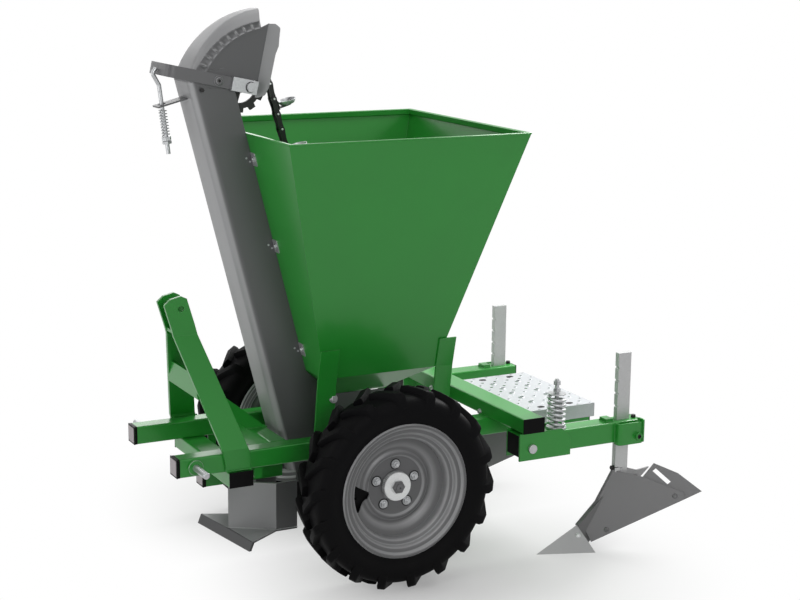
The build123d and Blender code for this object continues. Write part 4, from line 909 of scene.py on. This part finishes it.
def holeCell(bm, halfX, halfY, rings):  # sheet with cut corners round a pierced hole; rings are (radius, height)
    count = plank["facets"]
    before = []
    for u, v in ring(1, count):
        stretch = min(half / max(abs(way), 1e-9) for half, way in ((halfX, u), (halfY, v)))
        before.append(bm.verts.new(Vector((u * stretch, v * stretch, 0)) / 1000))
    for radius, height in rings:
        now = [bm.verts.new(Vector((u, v, height)) / 1000) for u, v in ring(radius, count)]
        for k in range(count):
            j = (k + 1) % count
            bm.faces.new((before[k], before[j], now[j], now[k]))
        before = now


def makePlank():
    front, rear, half, top, first = (plank[key] for key in ("front", "rear", "half", "deck", "firstRow"))
    pitch, rows, count = plank["pitch"], plank["rows"], plank["across"]
    reach = count * pitch / 2
    whole = bmesh.new()
    for kind, start in (("collar", first), ("eye", first - rows)):
        cell = bmesh.new()
        holeCell(cell, rows / 2, pitch / 2, plank[kind])
        grid = growNodes(
            newObject(kind + "Cells", cell, outward=False), gridTree, "plankZinc", Columns=count, Rows=plank["deep"],
            Pitch=pitch / 1000, Advance=-2 * rows / 1000, Corner=spot(start, -(count - 1) / 2 * pitch, top))
        whole.from_mesh(grid.data)
        scrap(grid)
    start, end = first + rows / 2, first - (2 * plank["deep"] - 0.5) * rows
    for x0, x1, y0, y1 in ((front, start, -half, half), (end, rear, -half, half), (start, end, reach, half),
                           (start, end, -half, -reach)):
        whole.faces.new([whole.verts.new(spot(x, y, top)) for x, y in oblong(x0, x1, y0, y1)])
    edge = oblong(front, rear, -half, half)
    for (a, b), drop in zip(zip(edge, edge[1:]), (plank["skirt"], plank["lip"], plank["skirt"])):
        corners = ((*a, top), (*b, top), (*b, top - drop), (*a, top - drop))
        whole.faces.new([whole.verts.new(spot(*point)) for point in corners])
    bmesh.ops.remove_doubles(whole, verts=whole.verts, dist=2e-5)
    for vert in whole.verts:  # no collar under a slot
        across = abs(vert.co.y) - plank["slotY"] / 1000
        if min(math.hypot(vert.co.x - spot(x, 0, 0).x, across) for x in plank["slotRows"]) < plank["slotClear"] / 1000:
            vert.co.z = min(vert.co.z, top / 1000)
    middle = spot((front + rear) / 2, 0, plank["inside"])
    for face in whole.faces:  # the deck faces up, the skirts face out
        depth = max(abs(vert.co.z - top / 1000) for vert in face.verts)
        upright = abs(face.normal.z) < 0.3 and depth > plank["skirtFrom"] / 1000
        if face.normal.z < -0.5 or (upright and face.normal.dot(face.calc_center_median() - middle) < 0):
            face.normal_flip()
    newPiece("treadPlank", whole, "plankZinc", "frame", "zinc", "step_plank", angle=40, outward=False)


def makeSlots():  # four black slabs level with the deck: painted shade for the slots' insides, standing for their bolts as well
    bm = bmesh.new()
    long, wide = plank["slot"]
    outline = [(long / 2 - wide / 2 + u, v) for u, v in ring(wide / 2, 8, -math.pi / 2)[:5]]
    outline += [(-u, -v) for u, v in outline]
    for x in plank["slotRows"]:
        for y in (-plank["slotY"], plank["slotY"]):
            slab(bm, outline, *plank["slotDepth"], lambda u, v, w: spot(x + u, y + v, plank["deck"] + w))
    newPiece("plankBolts", bm, "blackPlastic", "frame", "dark_steel")


makePlank()
makeSlots()
print("plank: pierced tread, skirts and bolts")

# Arm springs, each on its seat
armCoil = {
    "x": -608, "y": 408, "foot": 441, "length": 110, "radius": 27, "wire": 10.5, "turns": 6, "blend": (104, 4),
    "steps": 40, "seat": [(9, 434), (33.5, 434), (34.5, 435.5), (34.5, 439), (33, 441), (9, 441)],
}


def makeArmSpring(name, side, node):
    x, y, foot = armCoil["x"], side * armCoil["y"], armCoil["foot"]
    coil = growCoil(name + "Coil", armCoil, spot(x, y, foot + armCoil["wire"] / 2), (0, 0, math.pi))
    bm = bmesh.new()
    bm.from_mesh(coil.data)
    scrap(coil)
    rings = [[spot(x, y, 0) + Vector((r * u, r * v, z)) / 1000 for r, z in armCoil["seat"]]
             for u, v in ring(1, armCoil["steps"])]
    bmesh.ops.recalc_face_normals(bm, faces=stitch(bm, rings, closed=True))
    piece = newPiece(name, bm, "zincPlate", "", "zinc", node, angle=50, outward=False)
    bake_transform(piece)


for label, side in bothHands:
    makeArmSpring(label + "ArmCoil", side, label + "_arm_spring")

# Elevator: rounded chute, domed hood with crimps, side plates, flanges and gussets
chute = {
    "lean": 0.26, "foot": 203.5, "bottom": 300, "top": 1583, "half": 74, "corner": 16, "run": 139.49, "skin": 3.1,
    "round": 24, "back": (620, 1465), "seam": (-52, 2.4, 2),
}
hood = {
    "centre": (249.74, 1504.64), "radius": 297.83, "ends": (1583, 287), "skew": 5.0, "corner": (14, 36), "half": 77.5,
    "band": (25, 20), "skin": 2.5, "steps": 108, "pleats": 9, "pleatTurns": (22, 78), "pleatDepth": 6.0,
    "pleatEdge": (7, 26), "pleatBend": (3, 0.7), "pleatLap": 2, "plateLap": 4, "cornerRound": 1.5, "bandSteps": 6,
    "round": 9, "flangeLap": 1.5, "flangeTurn": 0.7, "fold": ((274, 1752), (318, 1545)), "plate": (71, 74),
    "sideTop": 1758, "gusset": [(418, 1626), (490, 1616), (500, 1580), (470, 1562), (425, 1562)], "gussetFace": 78,
    "flange": [(0, 1757), (16, 1757), (29, 1745), (31, 1712), (33, 1690), (29, 1664), (28, 1560), (22, 1538), (6, 1530),
               (0, 1531)],
}


def chuteX(z):
    return chute["foot"] + chute["lean"] * (z - chute["bottom"])


def chuteSpot(u, v, w):
    return spot(chuteX(w) - u, v, w)


def makeChute():
    half, corner, run, skin = (chute[key] for key in ("half", "corner", "run", "skin"))
    line = softLine([(run, half), (corner, half), (0, half - corner), (0, 0)], chute["round"], 10)
    seam, depth, wide = chute["seam"]
    line += [(0, seam + wide), (depth, seam), (0, seam - wide)] + [(d, -y) for d, y in reversed(line[:-1])]
    bm = bmesh.new()
    slab(bm, thicken(line, -skin), chute["bottom"], chute["top"], chuteSpot)
    inner = half - skin
    slab(bm, [(run - skin, -inner), (run - skin, inner), (run, inner), (run, -inner)], *chute["back"], chuteSpot)
    newPiece("roundedChute", bm, "sheetPaint", "frame", "grey_paint", "chute", angle=32)


def hoodSize(key, share):  # a size that changes from the hood's foot to its end
    start, end = hood[key]
    return start + (end - start) * share


def hoodPoint(radius, turn):
    return hood["centre"][0] + radius * math.cos(turn), hood["centre"][1] + radius * math.sin(turn)


def hoodTurn(share, radius, y):
    start = math.asin((hood["ends"][0] - hood["centre"][1]) / radius)
    end = math.acos((hood["ends"][1] - hood["centre"][0]) / hood["radius"])
    end -= math.radians(hood["skew"]) * min(abs(y) / hood["half"], 1) ** 2
    return start + (end - start) * share


def hoodPleat(share, radius, y):  # how far a crimp pushes the cover's edge in
    first, last = hood["pleatTurns"]
    place = (math.degrees(hoodTurn(share, radius, y)) - first) / (last - first) * hood["pleats"]
    inner = hood["radius"] - hoodSize("corner", share) - hoodSize("band", share) + hood["pleatLap"]
    near, drop = hood["pleatEdge"]
    along = (radius - inner) / (hood["radius"] - near - drop * share - inner)
    if not 0 < place < hood["pleats"] or not 0 < along < 1:
        return 0
    flat, full = hood["pleatBend"]
    return hood["pleatDepth"] * (1 - abs(2 * (place % 1) - 1) ** flat) * math.sin(math.pi * along) ** full


def hoodSection(share):
    radius, half, corner, band = hood["radius"], hood["half"], hoodSize("corner", share), hoodSize("band", share)
    line = softLine([(radius - corner - band, half), (radius - corner, half), (radius, half - corner), (radius, 0)],
                    corner * hood["cornerRound"], 9)
    start, gap, steps = line[0][0], line[1][0] - line[0][0], hood["bandSteps"]
    line = [(start + gap * k / steps, half) for k in range(steps)] + line[1:]
    return thicken(mirrored([(r, y - hoodPleat(share, r, y)) for r, y in line]), hood["skin"])


def foldX(z):
    (topX, topZ), (lowX, lowZ) = hood["fold"]
    return topX + (lowX - topX) * (topZ - z) / (topZ - lowZ)


def makeHood():
    bm = bmesh.new()
    shares = [k / hood["steps"] for k in range(hood["steps"] + 1)]
    rings = []
    for share in shares:
        points = [(hoodPoint(r, hoodTurn(share, r, y)), y) for r, y in hoodSection(share)]
        rings.append([spot(x, y, z) for (x, z), y in points])
    stitch(bm, rings)
    arc = []
    for share in reversed(shares):
        radius = hood["radius"] - hoodSize("corner", share) - hoodSize("band", share) + hood["plateLap"]
        arc.append(hoodPoint(radius, hoodTurn(share, radius, hood["half"])))
    plate = [(foldX(z), z) for z in (hood["ends"][0], hood["sideTop"])] + arc
    gusset, flange = softLine(hood["gusset"], hood["round"], 4, closed=True), softLine(hood["flange"], hood["round"], 4)
    (low, high), lap, turn = hood["plate"], hood["flangeLap"], hood["flangeTurn"]
    for side in (1, -1):
        slab(bm, plate, side * low, side * high, sideways)
        slab(bm, gusset, side * high, side * hood["gussetFace"], sideways)
        slab(bm, flange, 0, hood["skin"],
             lambda u, v, w: spot(foldX(v) - u + w * turn, side * (high - lap + u + w * turn), v))
    newPiece("domedHood", bm, "sheetPaint", "frame", "grey_paint", "hood", angle=32)


makeChute()
makeHood()
print("elevator: chute and hood,", hood["pleats"], "crimps a side")

# Chain: cranked links, bright rivets, dished cups on bent brackets, forked sprocket
chain = {
    "low": (0, 327), "high": (345.0, 1565), "pitch": 50.399, "radius": 96.26, "links": 63, "firstCup": 2, "perCup": 3,
    "cheek": 9, "waist": 0.82, "crank": (0.38, 0.66), "gauge": 3.2, "near": 9.5, "far": 13, "barrel": 5, "rivet": 3.4,
    "rivetEnds": (14, 17.6), "bow": 48,
}
cup = {
    "away": 46, "foot": (14, 15), "footEnds": (8.5, 11.5), "tongueRound": 4, "tongueEnds": (-11, -8), "button": 5,
    "buttonEnds": (-7, -4), "tongue": [(11, -13), (40, -11), (55, -8), (55, 8), (40, 11), (11, 13)],
    "profile": [(0.01, -8), (14.5, -8), (22.04, -5.76), (26.68, -0.8), (29, 6.4), (29, 8), (27.4, 8), (25.52, 0),
                (20.88, -4), (13.34, -6), (0.01, -6)],
}
sprocket = {
    "teeth": 12, "tip": 88, "root": 75, "inside": 57, "hub": 24, "hubHalf": 16, "spokes": 4, "half": 4.5,
    "spokeHalf": 4, "first": 149.43, "spoke": [(20, -9), (60, -7), (60, 7), (20, 9)],
    "tooth": ((-0.30, "root"), (-0.22, "tip"), (0.22, "tip"), (0.30, "root"), (0.5, "root")),
}


def chainPath():
    (x0, z0), (x1, z1) = chain["low"], chain["high"]
    lean = math.atan2(z1 - z0, x1 - x0) + math.pi / 2
    points = []
    for x, z, base in ((x0, z0, lean + math.pi), (x1, z1, lean)):
        for k in range(chain["bow"] + 1):
            turn = base - math.pi * k / chain["bow"]
            points.append((x + chain["radius"] * math.cos(turn), 0, z + chain["radius"] * math.sin(turn)))
    return points[chain["bow"]:] + points[:chain["bow"]]


def alongChain(name, part, finishName, slot, count, first, step, *stoodFor):
    pitch = chain["pitch"] / 1000
    piece = growNodes(
        lineMesh(name, [chainPath()], closed=True), pathTree, finishName, Part=part, Count=count, First=first * pitch,
        Step=step * pitch, Span=pitch)
    scrap(part)
    return mount(piece, "frame", slot, *stoodFor)


def makeChain():
    pitch, cheek, near = chain["pitch"], chain["cheek"], chain["near"]
    (start, end), waist = chain["crank"], cheek * chain["waist"]
    head = [(pitch + u, v) for u, v in ring(cheek, 12, -math.pi / 2)[:7]]
    tail = ring(cheek, 12, math.pi / 2)[:7]
    outline = head + [(pitch * end, waist), (pitch * start, waist)]
    outline += tail + [(pitch * start, -waist), (pitch * end, -waist)]

    def crank(u):
        return near + (chain["far"] - near) * min(max((u / pitch - start) / (end - start), 0), 1)

    bm, rivets = bmesh.new(), bmesh.new()
    centre = Vector((0, 0, 0))
    for side in (1, -1):
        slab(bm, outline, 0, chain["gauge"], lambda u, v, w: Vector((u, side * (crank(u) + w), v)) / 1000)
        slab(rivets, ring(chain["rivet"], 8), *chain["rivetEnds"], axial(centre, side))
    slab(bm, ring(chain["barrel"], 10), -near, near, axial(centre, 1))
    links = chain["links"]
    alongChain("crankedLinks", newObject("linkSeed", bm, 30), "chainSteel", "dark_steel", links, 0, 1, "cup_chain")
    alongChain("chainRivets", newObject("rivetSeed", rivets, 30), "brightZinc", "zinc", links, 0, 1)


def makeCups():
    away, middle = cup["away"], chain["pitch"] / 2
    dish, steel = bmesh.new(), bmesh.new()
    lathe(dish, cup["profile"], Vector((0, 0, 0)), 28, closed=False)
    turnPart(dish, -math.pi / 2, "Z", (middle, 0, away))
    cleanMesh(dish)
    long, wide = cup["foot"]
    slab(steel, oblong(middle - long, middle + long, -wide, wide), *cup["footEnds"], seedSpot)
    tongue = softLine(cup["tongue"], cup["tongueRound"], 3, closed=True)
    slab(steel, tongue, *cup["tongueEnds"], lambda u, v, w: seedSpot(middle + w, v, u))
    slab(steel, ring(cup["button"], 12), *cup["buttonEnds"], lambda u, v, w: seedSpot(middle + w, v, away + u))
    places = chain["links"] // chain["perCup"], chain["firstCup"], chain["perCup"]
    alongChain("dishedCups", newObject("cupSeed", dish, 40), "cupZinc", "zinc", *places, "chain_cups")
    alongChain("cupBrackets", newObject("bracketSeed", steel, 30), "chainSteel", "dark_steel", *places)


def makeSprocket():
    bm = bmesh.new()
    x, z = chain["high"]
    half, inside = sprocket["half"], sprocket["inside"]
    first = math.radians(sprocket["first"])
    rings = []
    for tooth in range(sprocket["teeth"]):
        for share, key in sprocket["tooth"]:
            turn = first + (tooth + share) * 2 * math.pi / sprocket["teeth"]
            c, s = math.cos(turn), math.sin(turn)
            corners = ((sprocket[key], half), (sprocket[key], -half), (inside, -half), (inside, half))
            rings.append([spot(x + r * c, w, z + r * s) for r, w in corners])
    stitch(bm, rings, closed=True)
    where = axial(spot(x, 0, z), 1)
    slab(bm, ring(sprocket["hub"], 32), -sprocket["hubHalf"], sprocket["hubHalf"], where)
    for c, s in ring(1, sprocket["spokes"], first + math.pi / 4):
        spoke = [(u * c - v * s, u * s + v * c) for u, v in sprocket["spoke"]]
        slab(bm, spoke, -sprocket["spokeHalf"], sprocket["spokeHalf"], where)
    newPiece("forkedSprocket", bm, "chainSteel", "upper_drive", "dark_steel", "upper_sprocket", angle=30)


makeChain()
makeCups()
makeSprocket()
print("chain:", chain["links"], "links,", chain["links"] // chain["perCup"], "cups")

# Tensioner: rounded strap, washers, bearing bolts, nuts and coil
strap = {
    "tail": 60, "nose": 267, "slope": 0.2172, "rise": (-0.2122, 0.9772), "half": 19, "inner": 80, "gauge": 6,
    "bend": 26,
}
pivot = {
    "at": (447, 1587), "socket": (5.2, 91.2, 91.6), "bolt": (7, 86, 91), "boltAway": (55, -27),
    "profile": [(0.01, 74), (6, 74), (6, 86.3), (15.5, 86.3), (15.5, 88.4), (14.4, 89.3), (11, 89.3), (11, 94.5),
                (9.8, 96), (6.4, 96), (5.4, 95), (5.4, 91), (0.01, 91)],
}
shaftHead = {"half": 12, "round": 3, "ends": (97.5, 107), "turn": 0.2, "washer": 17, "washerEnds": (96.2, 98)}
rodCoil = {
    "foot": (588.8, 1412.65), "head": (599.7, 1498.65), "lean": 0.126, "radius": 11, "wire": 4, "turns": 9,
    "length": 86, "nut": 15.2, "nuts": ((0.0, -11.2, 0), (0.4, -22, -13)),
}


def strapSpot(u, v, w):
    x, z = chain["high"]
    back, up = strap["rise"]
    return spot(x + u + back * w, v, z + strap["slope"] * u + up * w)


def makeStrap():
    bm = bmesh.new()
    outer, tail, nose = strap["inner"] + strap["gauge"], strap["tail"], strap["nose"]
    path = softLine([(tail, outer), (nose, outer), (nose, -outer), (tail, -outer)], strap["bend"], 10)
    slab(bm, thicken(path, -strap["gauge"]), -strap["half"], strap["half"], strapSpot)
    newPiece("bentStrap", bm, "strapPaint", "tension_yoke", "grey_paint", "tension_yoke", angle=32)


def makePivots():
    bm, dark = bmesh.new(), bmesh.new()
    middle = spot(pivot["at"][0], 0, pivot["at"][1])
    radius, *ends = pivot["bolt"]
    x, z = pivot["boltAway"]
    for side in (1, -1):
        lathe(bm, pivot["profile"], middle, 40, side, closed=False)
        slab(dark, ring(pivot["socket"][0], 6), *pivot["socket"][1:], axial(middle, side))
        slab(dark, [(u + x, v + z) for u, v in ring(radius, 6)], *ends, axial(middle, side))
    cleanMesh(bm)
    newPiece("pivotWashers", bm, "sheetPaint", "frame", "zinc", "yoke_pivot_bolts", angle=40)
    newPiece("pivotSockets", dark, "darkSteel", "frame", "dark_steel")


def makeShaftHeads():
    heads, washers = bmesh.new(), bmesh.new()
    x, z = chain["high"]
    half, skew = shaftHead["half"], shaftHead["turn"]
    square = [(u + skew * v, v - skew * u) for u, v in softBox(-half, half, -half, half, shaftHead["round"], 3)]
    for side in (1, -1):
        slab(heads, square, *shaftHead["ends"], axial(spot(x, 0, z), side))
        slab(washers, ring(shaftHead["washer"], 32), *shaftHead["washerEnds"], axial(spot(x, 0, z), side))
    newPiece("shaftHeads", heads, "zincPlate", "upper_drive", "zinc", angle=30)
    newPiece("shaftWashers", washers, "darkSteel", "upper_drive", "dark_steel", angle=30)


def makeRodCoil():
    foot, head = (spot(rodCoil[key][0], 0, rodCoil[key][1]) for key in ("foot", "head"))
    lean = Vector((math.sin(rodCoil["lean"]), 0, math.cos(rodCoil["lean"])))
    across = Vector((lean.z, 0, -lean.x))
    coil = growCoil("tensionCoil", rodCoil, foot + lean * rodCoil["wire"] / 2000, (0, rodCoil["lean"], 0))
    coil.data.polygons.foreach_set("use_smooth", [True] * len(coil.data.polygons))
    mount(coil, "", "zinc", "tension_spring")
    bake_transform(coil)
    bm = bmesh.new()
    for turn, low, high in rodCoil["nuts"]:
        slab(bm, ring(rodCoil["nut"], 6, turn), low, high,
             lambda u, v, w: foot + (lean * w + across * u + Vector((0, v, 0))) / 1000)
    newPiece("rodNuts", bm, "zincPlate", "tension_yoke", "zinc", angle=30)


makeStrap()
makePivots()
makeShaftHeads()
makeRodCoil()
print("tensioner: strap, washers, nuts and coil")

# Clips between chute and hopper
clip = {
    "heights": (1336.7, 1056.3, 710.3), "inset": 14, "half": (14, 22), "gauge": 2.5, "round": 6, "leg": 36,
    "legRound": 5, "bolt": (21, 8.5, 9), "rivet": (3.4, 1.6), "rivets": ((-4, -6), (5, 7.5)),
}


def makeClips():
    bm = bmesh.new()
    (wide, tall), gauge, leg = clip["half"], clip["gauge"], clip["leg"]
    upright = axial(Vector((0, 0, 0)), 1)
    slab(bm, softBox(-wide, wide, -tall, tall, clip["round"]), 0, gauge, upright)
    slab(bm, softBox(0, leg, -tall, tall, clip["legRound"]), -wide, gauge - wide, lambda u, v, w: seedSpot(w, u, v))
    along, radius, reach = clip["bolt"]
    hexHead(bm, radius, gauge - wide, reach - wide, lambda u, v, w: seedSpot(w, along + u, v))
    radius, rise = clip["rivet"]
    for x, z in clip["rivets"]:
        slab(bm, [(x + u, z + v) for u, v in ring(radius, 10)], gauge, gauge + rise, upright)
    part = newObject("clipSeed", bm, 30)
    turn = (0.0, math.atan(chute["lean"]), 0.0)
    marks = [(spot(chuteX(z) - chute["run"] + clip["inset"], chute["half"], z), turn) for z in clip["heights"]]
    left = setParts("leftClips", part, marks, "zincPlate", "frame", "zinc", "chute_clips")
    scrap(part)
    bm = bmesh.new()
    bm.from_mesh(left.data)
    bmesh.ops.scale(bm, verts=bm.verts, vec=(1, -1, 1))
    bmesh.ops.reverse_faces(bm, faces=bm.faces)
    newPiece("rightClips", bm, "zincPlate", "frame", "zinc", angle=30, outward=False)


makeClips()
print("clips:", len(clip["heights"]), "a side")

# Bolts and small fittings
fastener = {  # hexagons are (radius, top, washer)
    "large": (10, 9, 14.5), "small": (7.5, 7.5, 10), "headFrom": 1.5, "washerEnds": (-0.5, 2),
    "round": [(0.01, 2.475), (2.7, 2.475), (3.06, 4.5), (6.3, 3.6), (9, 0.9), (9, -1)],
}
boltMarks = {  # left side's places and ways, each with its mirror image
    "bracket": [((117, 213.5, 571), (0, 1, 0.26))], "tube": [((-454, 171, 449), (1, 0, 0))],
    "bearing": [((49, 200, 368), (0, 0, -1)), ((-49, 200, 368), (0, 0, -1))],
}
carrierBolt = {"at": (406, 0, 272), "out": (0, 0, -1)}
pinCollar = {"at": (597, 412), "profile": [(11.2, 230), (24.4, 230), (24.4, 236.8), (23, 238.4), (11.2, 238.4)]}
rimBead = {"front": 355.4, "rear": -483, "half": 410, "top": 1421, "radius": 3.2, "inset": 2.6, "drop": 2}
beamTab = {"x": (361, 389), "z": (384, 338), "round": 9, "y": (197, 203)}
plugs = {  # faces and collars are (growth, start, end)
    "tubes": ("left_beam", "right_beam", "opener_carrier_tube"), "face": (-5, 2.5, 4.0), "collar": (0.4, -7.5, -0.2),
    "round": 6,
}
soleTop = {
    "plates": ([(379, 164), (398.5, 3), (266, 91.5)], [(428, -164), (402, -3), (266, -91.5)]), "z": (111.5, 112.7),
}


def makeHexPart(name, radius, top, washer):  # hexagon head on a washer, along its own Z
    bm = bmesh.new()
    slab(bm, ring(washer, 20), *fastener["washerEnds"], seedSpot)
    hexHead(bm, radius, fastener["headFrom"], top, seedSpot)
    return newObject(name, bm, 30)


def makeRoundPart(name):  # domed head with a sunk middle, along its own Z
    bm = bmesh.new()
    lathe(bm, fastener["round"], Vector((0, 0, 0)), 24, closed=False)
    turnPart(bm, math.pi / 2, "X")
    cleanMesh(bm)
    return newObject(name, bm, 40)


def sideMarks(marks):
    return [(spot(x, side * y, z), facing((outX, side * outY, outZ)))
            for (x, y, z), (outX, outY, outZ) in marks for side in (1, -1)]


hexPart = makeHexPart("hexSeed", *fastener["large"])
smallHex = makeHexPart("smallHexSeed", *fastener["small"])
roundPart = makeRoundPart("roundSeed")
for key, part in (("bracket", hexPart), ("tube", smallHex), ("bearing", hexPart)):
    setParts(key + "Bolts", part, sideMarks(boltMarks[key]), "zincPlate", "frame", "zinc")
setParts("carrierBolt", hexPart, [(spot(*carrierBolt["at"]), facing(carrierBolt["out"]))], "darkSteel", "frame",
         "dark_steel")


def makePinCollars():
    bm = bmesh.new()
    x, z = pinCollar["at"]
    for side in (1, -1):
        lathe(bm, pinCollar["profile"], spot(x, 0, z), 40, side)
    newPiece("pinCollars", bm, "greenPaint", "frame", "green_paint", angle=35)


def makeRimBead():  # rolled edge round the top of the hopper
    bm = bmesh.new()
    front, rear, half, inset = (rimBead[key] for key in ("front", "rear", "half", "inset"))
    corners = [(front, half, 1, 1), (rear, half, -1, 1), (rear, -half, -1, -1), (front, -half, 1, -1)]
    stitch(bm, [[spot(x + sx * (u - inset), y + sy * (u - inset), rimBead["top"] - rimBead["drop"] + v)
                 for u, v in ring(rimBead["radius"], 10)] for x, y, sx, sy in corners], closed=True)
    newPiece("rimBead", bm, "greenPaint", "frame", "green_paint", angle=50)


def makeBeamTabs():  # lug under each beam, behind the front tube
    bm = bmesh.new()
    low, high = beamTab["y"]
    for side in (1, -1):
        slab(bm, softBox(*beamTab["x"], *beamTab["z"], beamTab["round"], 5), side * low, side * high, sideways)
    newPiece("beamTabs", bm, "greenPaint", "frame", "green_paint", angle=30)


def makePlugLitFaces():  # pale faces painted as the light and reflection on the black plugs in the tubes' front ends, and their black collars
    faces, collars = bmesh.new(), bmesh.new()
    for node in plugs["tubes"]:
        low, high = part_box(node)
        front, middle, half = high.x, (low + high) / 2, (high - low) * 500
        for bm, (grow, start, end) in ((faces, plugs["face"]), (collars, plugs["collar"])):
            wide, tall = half.y + grow, half.z + grow
            slab(bm, softBox(-wide, wide, -tall, tall, plugs["round"]), start, end,
                 lambda u, v, w: Vector((front, middle.y, middle.z)) + Vector((w, u, v)) / 1000)
    newPiece("plugFaces", faces, "plugFace", "frame", "black_plastic", angle=30)
    newPiece("plugCollars", collars, "plugPlastic", "frame", "black_plastic", angle=30)


def makeSoleTop():  # lighter plate on the top of the opener's sole, either side of the boot
    bm = bmesh.new()
    for outline in soleTop["plates"]:
        slab(bm, outline, *soleTop["z"], spot)
    newPiece("soleTop", bm, "soleTop", "frame", "grey_paint", angle=30)


makePinCollars()
makeRimBead()
makeBeamTabs()
makePlugLitFaces()
makeSoleTop()

# Covering units: screws, clamp plates and rear bolts
unit = {
    "middle": 408, "nose": (-728, 76), "lean": 0.599, "sweep": 28, "screws": ((261.7, 113.4), (88.5, -16.8)),
    "shareScrew": (-697.6, 20.2, 50), "shareOut": (0.29, 0.765, 0.576), "bolt": (8, 0, 11), "boltAt": (-845, 264),
    "shim": (-869, -845.3, 250, 264), "shimHalf": 9.8, "plate": (440, 474, 362, 442, 6), "plateX": (-920, -914),
    "clampBolt": (9, 433, 444), "clampAt": (-916, 412), "socketAt": (-896, 386),
    "socket": [(0.01, 476), (6.6, 476), (6.6, 482.5), (5.4, 482.5), (5.0, 478), (0.01, 478)],
}


def wingMark(side, hand, u, v):  # a place on a ridger wing and the way that it faces
    sweep = math.radians(unit["sweep"])
    back = Vector((-math.cos(sweep), hand * math.sin(sweep), 0))
    rise = Vector((-unit["lean"], 0, 1)).normalized()
    out = back.cross(rise).normalized() * hand
    point = Vector((unit["nose"][0], unit["middle"], unit["nose"][1])) + back * u + rise * v
    return spot(point.x, side * point.y, point.z), facing((out.x, side * out.y, out.z))


def makeUnit(label, side):
    middle, arm, ridger = unit["middle"], label + "_arm", label + "_ridger"
    marks = [wingMark(side, hand, u, v) for hand in (1, -1) for u, v in unit["screws"]]
    setParts(label + "RidgerScrews", roundPart, marks, "strapPaint", ridger, "zinc")
    (x, y, z), (outX, outY, outZ) = unit["shareScrew"], unit["shareOut"]
    marks = [(spot(x, side * (middle + hand * y), z), facing((outX, side * hand * outY, outZ))) for hand in (1, -1)]
    setParts(label + "ShareScrews", roundPart, marks, "brightZinc", ridger, "zinc")
    bm, shim, plate, bolt = bmesh.new(), bmesh.new(), bmesh.new(), bmesh.new()
    x, z = unit["boltAt"]
    hexHead(bm, *unit["bolt"], lambda u, v, w: spot(x + w, side * (middle + u), z + v))
    newPiece(label + "ShankBolt", bm, "darkSteel", ridger, "dark_steel", angle=30)
    slab(shim, oblong(*unit["shim"]), -unit["shimHalf"], unit["shimHalf"],
         lambda u, v, w: spot(u, side * (middle + w), v))
    newPiece(label + "ShankShim", shim, "shankSteel", ridger, "zinc", angle=30)
    slab(plate, softBox(*unit["plate"]), *unit["plateX"], lambda u, v, w: spot(w, side * u, v))
    newPiece(label + "ClampPlate", plate, "greenPaint", arm, "green_paint", angle=30)
    x, y = unit["clampAt"]
    hexHead(bolt, *unit["clampBolt"], lambda u, v, w: spot(x + u, side * (y + v), w))
    x, z = unit["socketAt"]
    lathe(bolt, unit["socket"], spot(x, 0, z), 24, side, closed=False)
    cleanMesh(bolt)
    newPiece(label + "ClampBolts", bolt, "darkSteel", arm, "dark_steel", angle=30)


for label, side in bothHands:
    makeUnit(label, side)
scrap(hexPart, smallHex, roundPart)
print("fittings: bolts, screws, collars, bead and tabs")

# Welds: lines on the left side, with the ripples' size and seed
seams = {
    "frame": (3.2, 3, [
        [(497, 231, 443), (497, 231, 388)], [(417, 231, 388), (417, 231, 442)], [(417, 243, 388), (497, 243, 388)],
        [(-454, 170, 443), (-454, 230, 443)], [(-534, 170, 443), (-534, 230, 443)],
        [(110, 190, 443), (176, 190, 443)], [(-313, 190, 443), (-251, 190, 443)],
        [(572, 230, 411), (578, 231, 395), (597, 231, 387), (616, 231, 395), (622, 230, 411)],
        [(490, 231, 381), (410, 231, 381)]]),
    "strut": (3.0, 5, [[(262, 7, 443), (330, 7, 443)]]),
    "boot": (2.6, 7, [
        [(399, 0, 112.5), (266, 90.5, 112.5), (191, 90.5, 112.5)], [(399, 0, 270), (266, 90.5, 270)]]),
    "arm": (2.8, 11, [
        [(-821, 443.5, 364), (-821, 443.5, 432)], [(-823, 428, 435), (-795, 428, 435)],
        [(-823, 388, 435), (-795, 388, 435)]]),
    "nose": (2.6, 13, [[(-729, 408, 80), (-838, 408, 256)]]),
}


def addSeams(name, key, sides, finishName, body, slot):
    size, seed, lines = seams[key]
    placed = [[(x, side * y, z) for x, y, z in line] for side in sides for line in lines]
    weld(name, placed, size, finishName, body, slot, seed)


addSeams("frameWelds", "frame", (1, -1), "greenPaint", "frame", "green_paint")
addSeams("strutWelds", "strut", (1, -1), "greenPaint", "frame", "green_paint")
addSeams("bootWelds", "boot", (1, -1), "shareSteel", "frame", "grey_paint")
for label, side in bothHands:
    addSeams(label + "ArmWelds", "arm", (side,), "greenPaint", label + "_arm", "green_paint")
    addSeams(label + "NoseWeld", "nose", (side,), "greyPaint", label + "_ridger", "grey_paint")
print("welds: frame, boot, arms and ridgers")
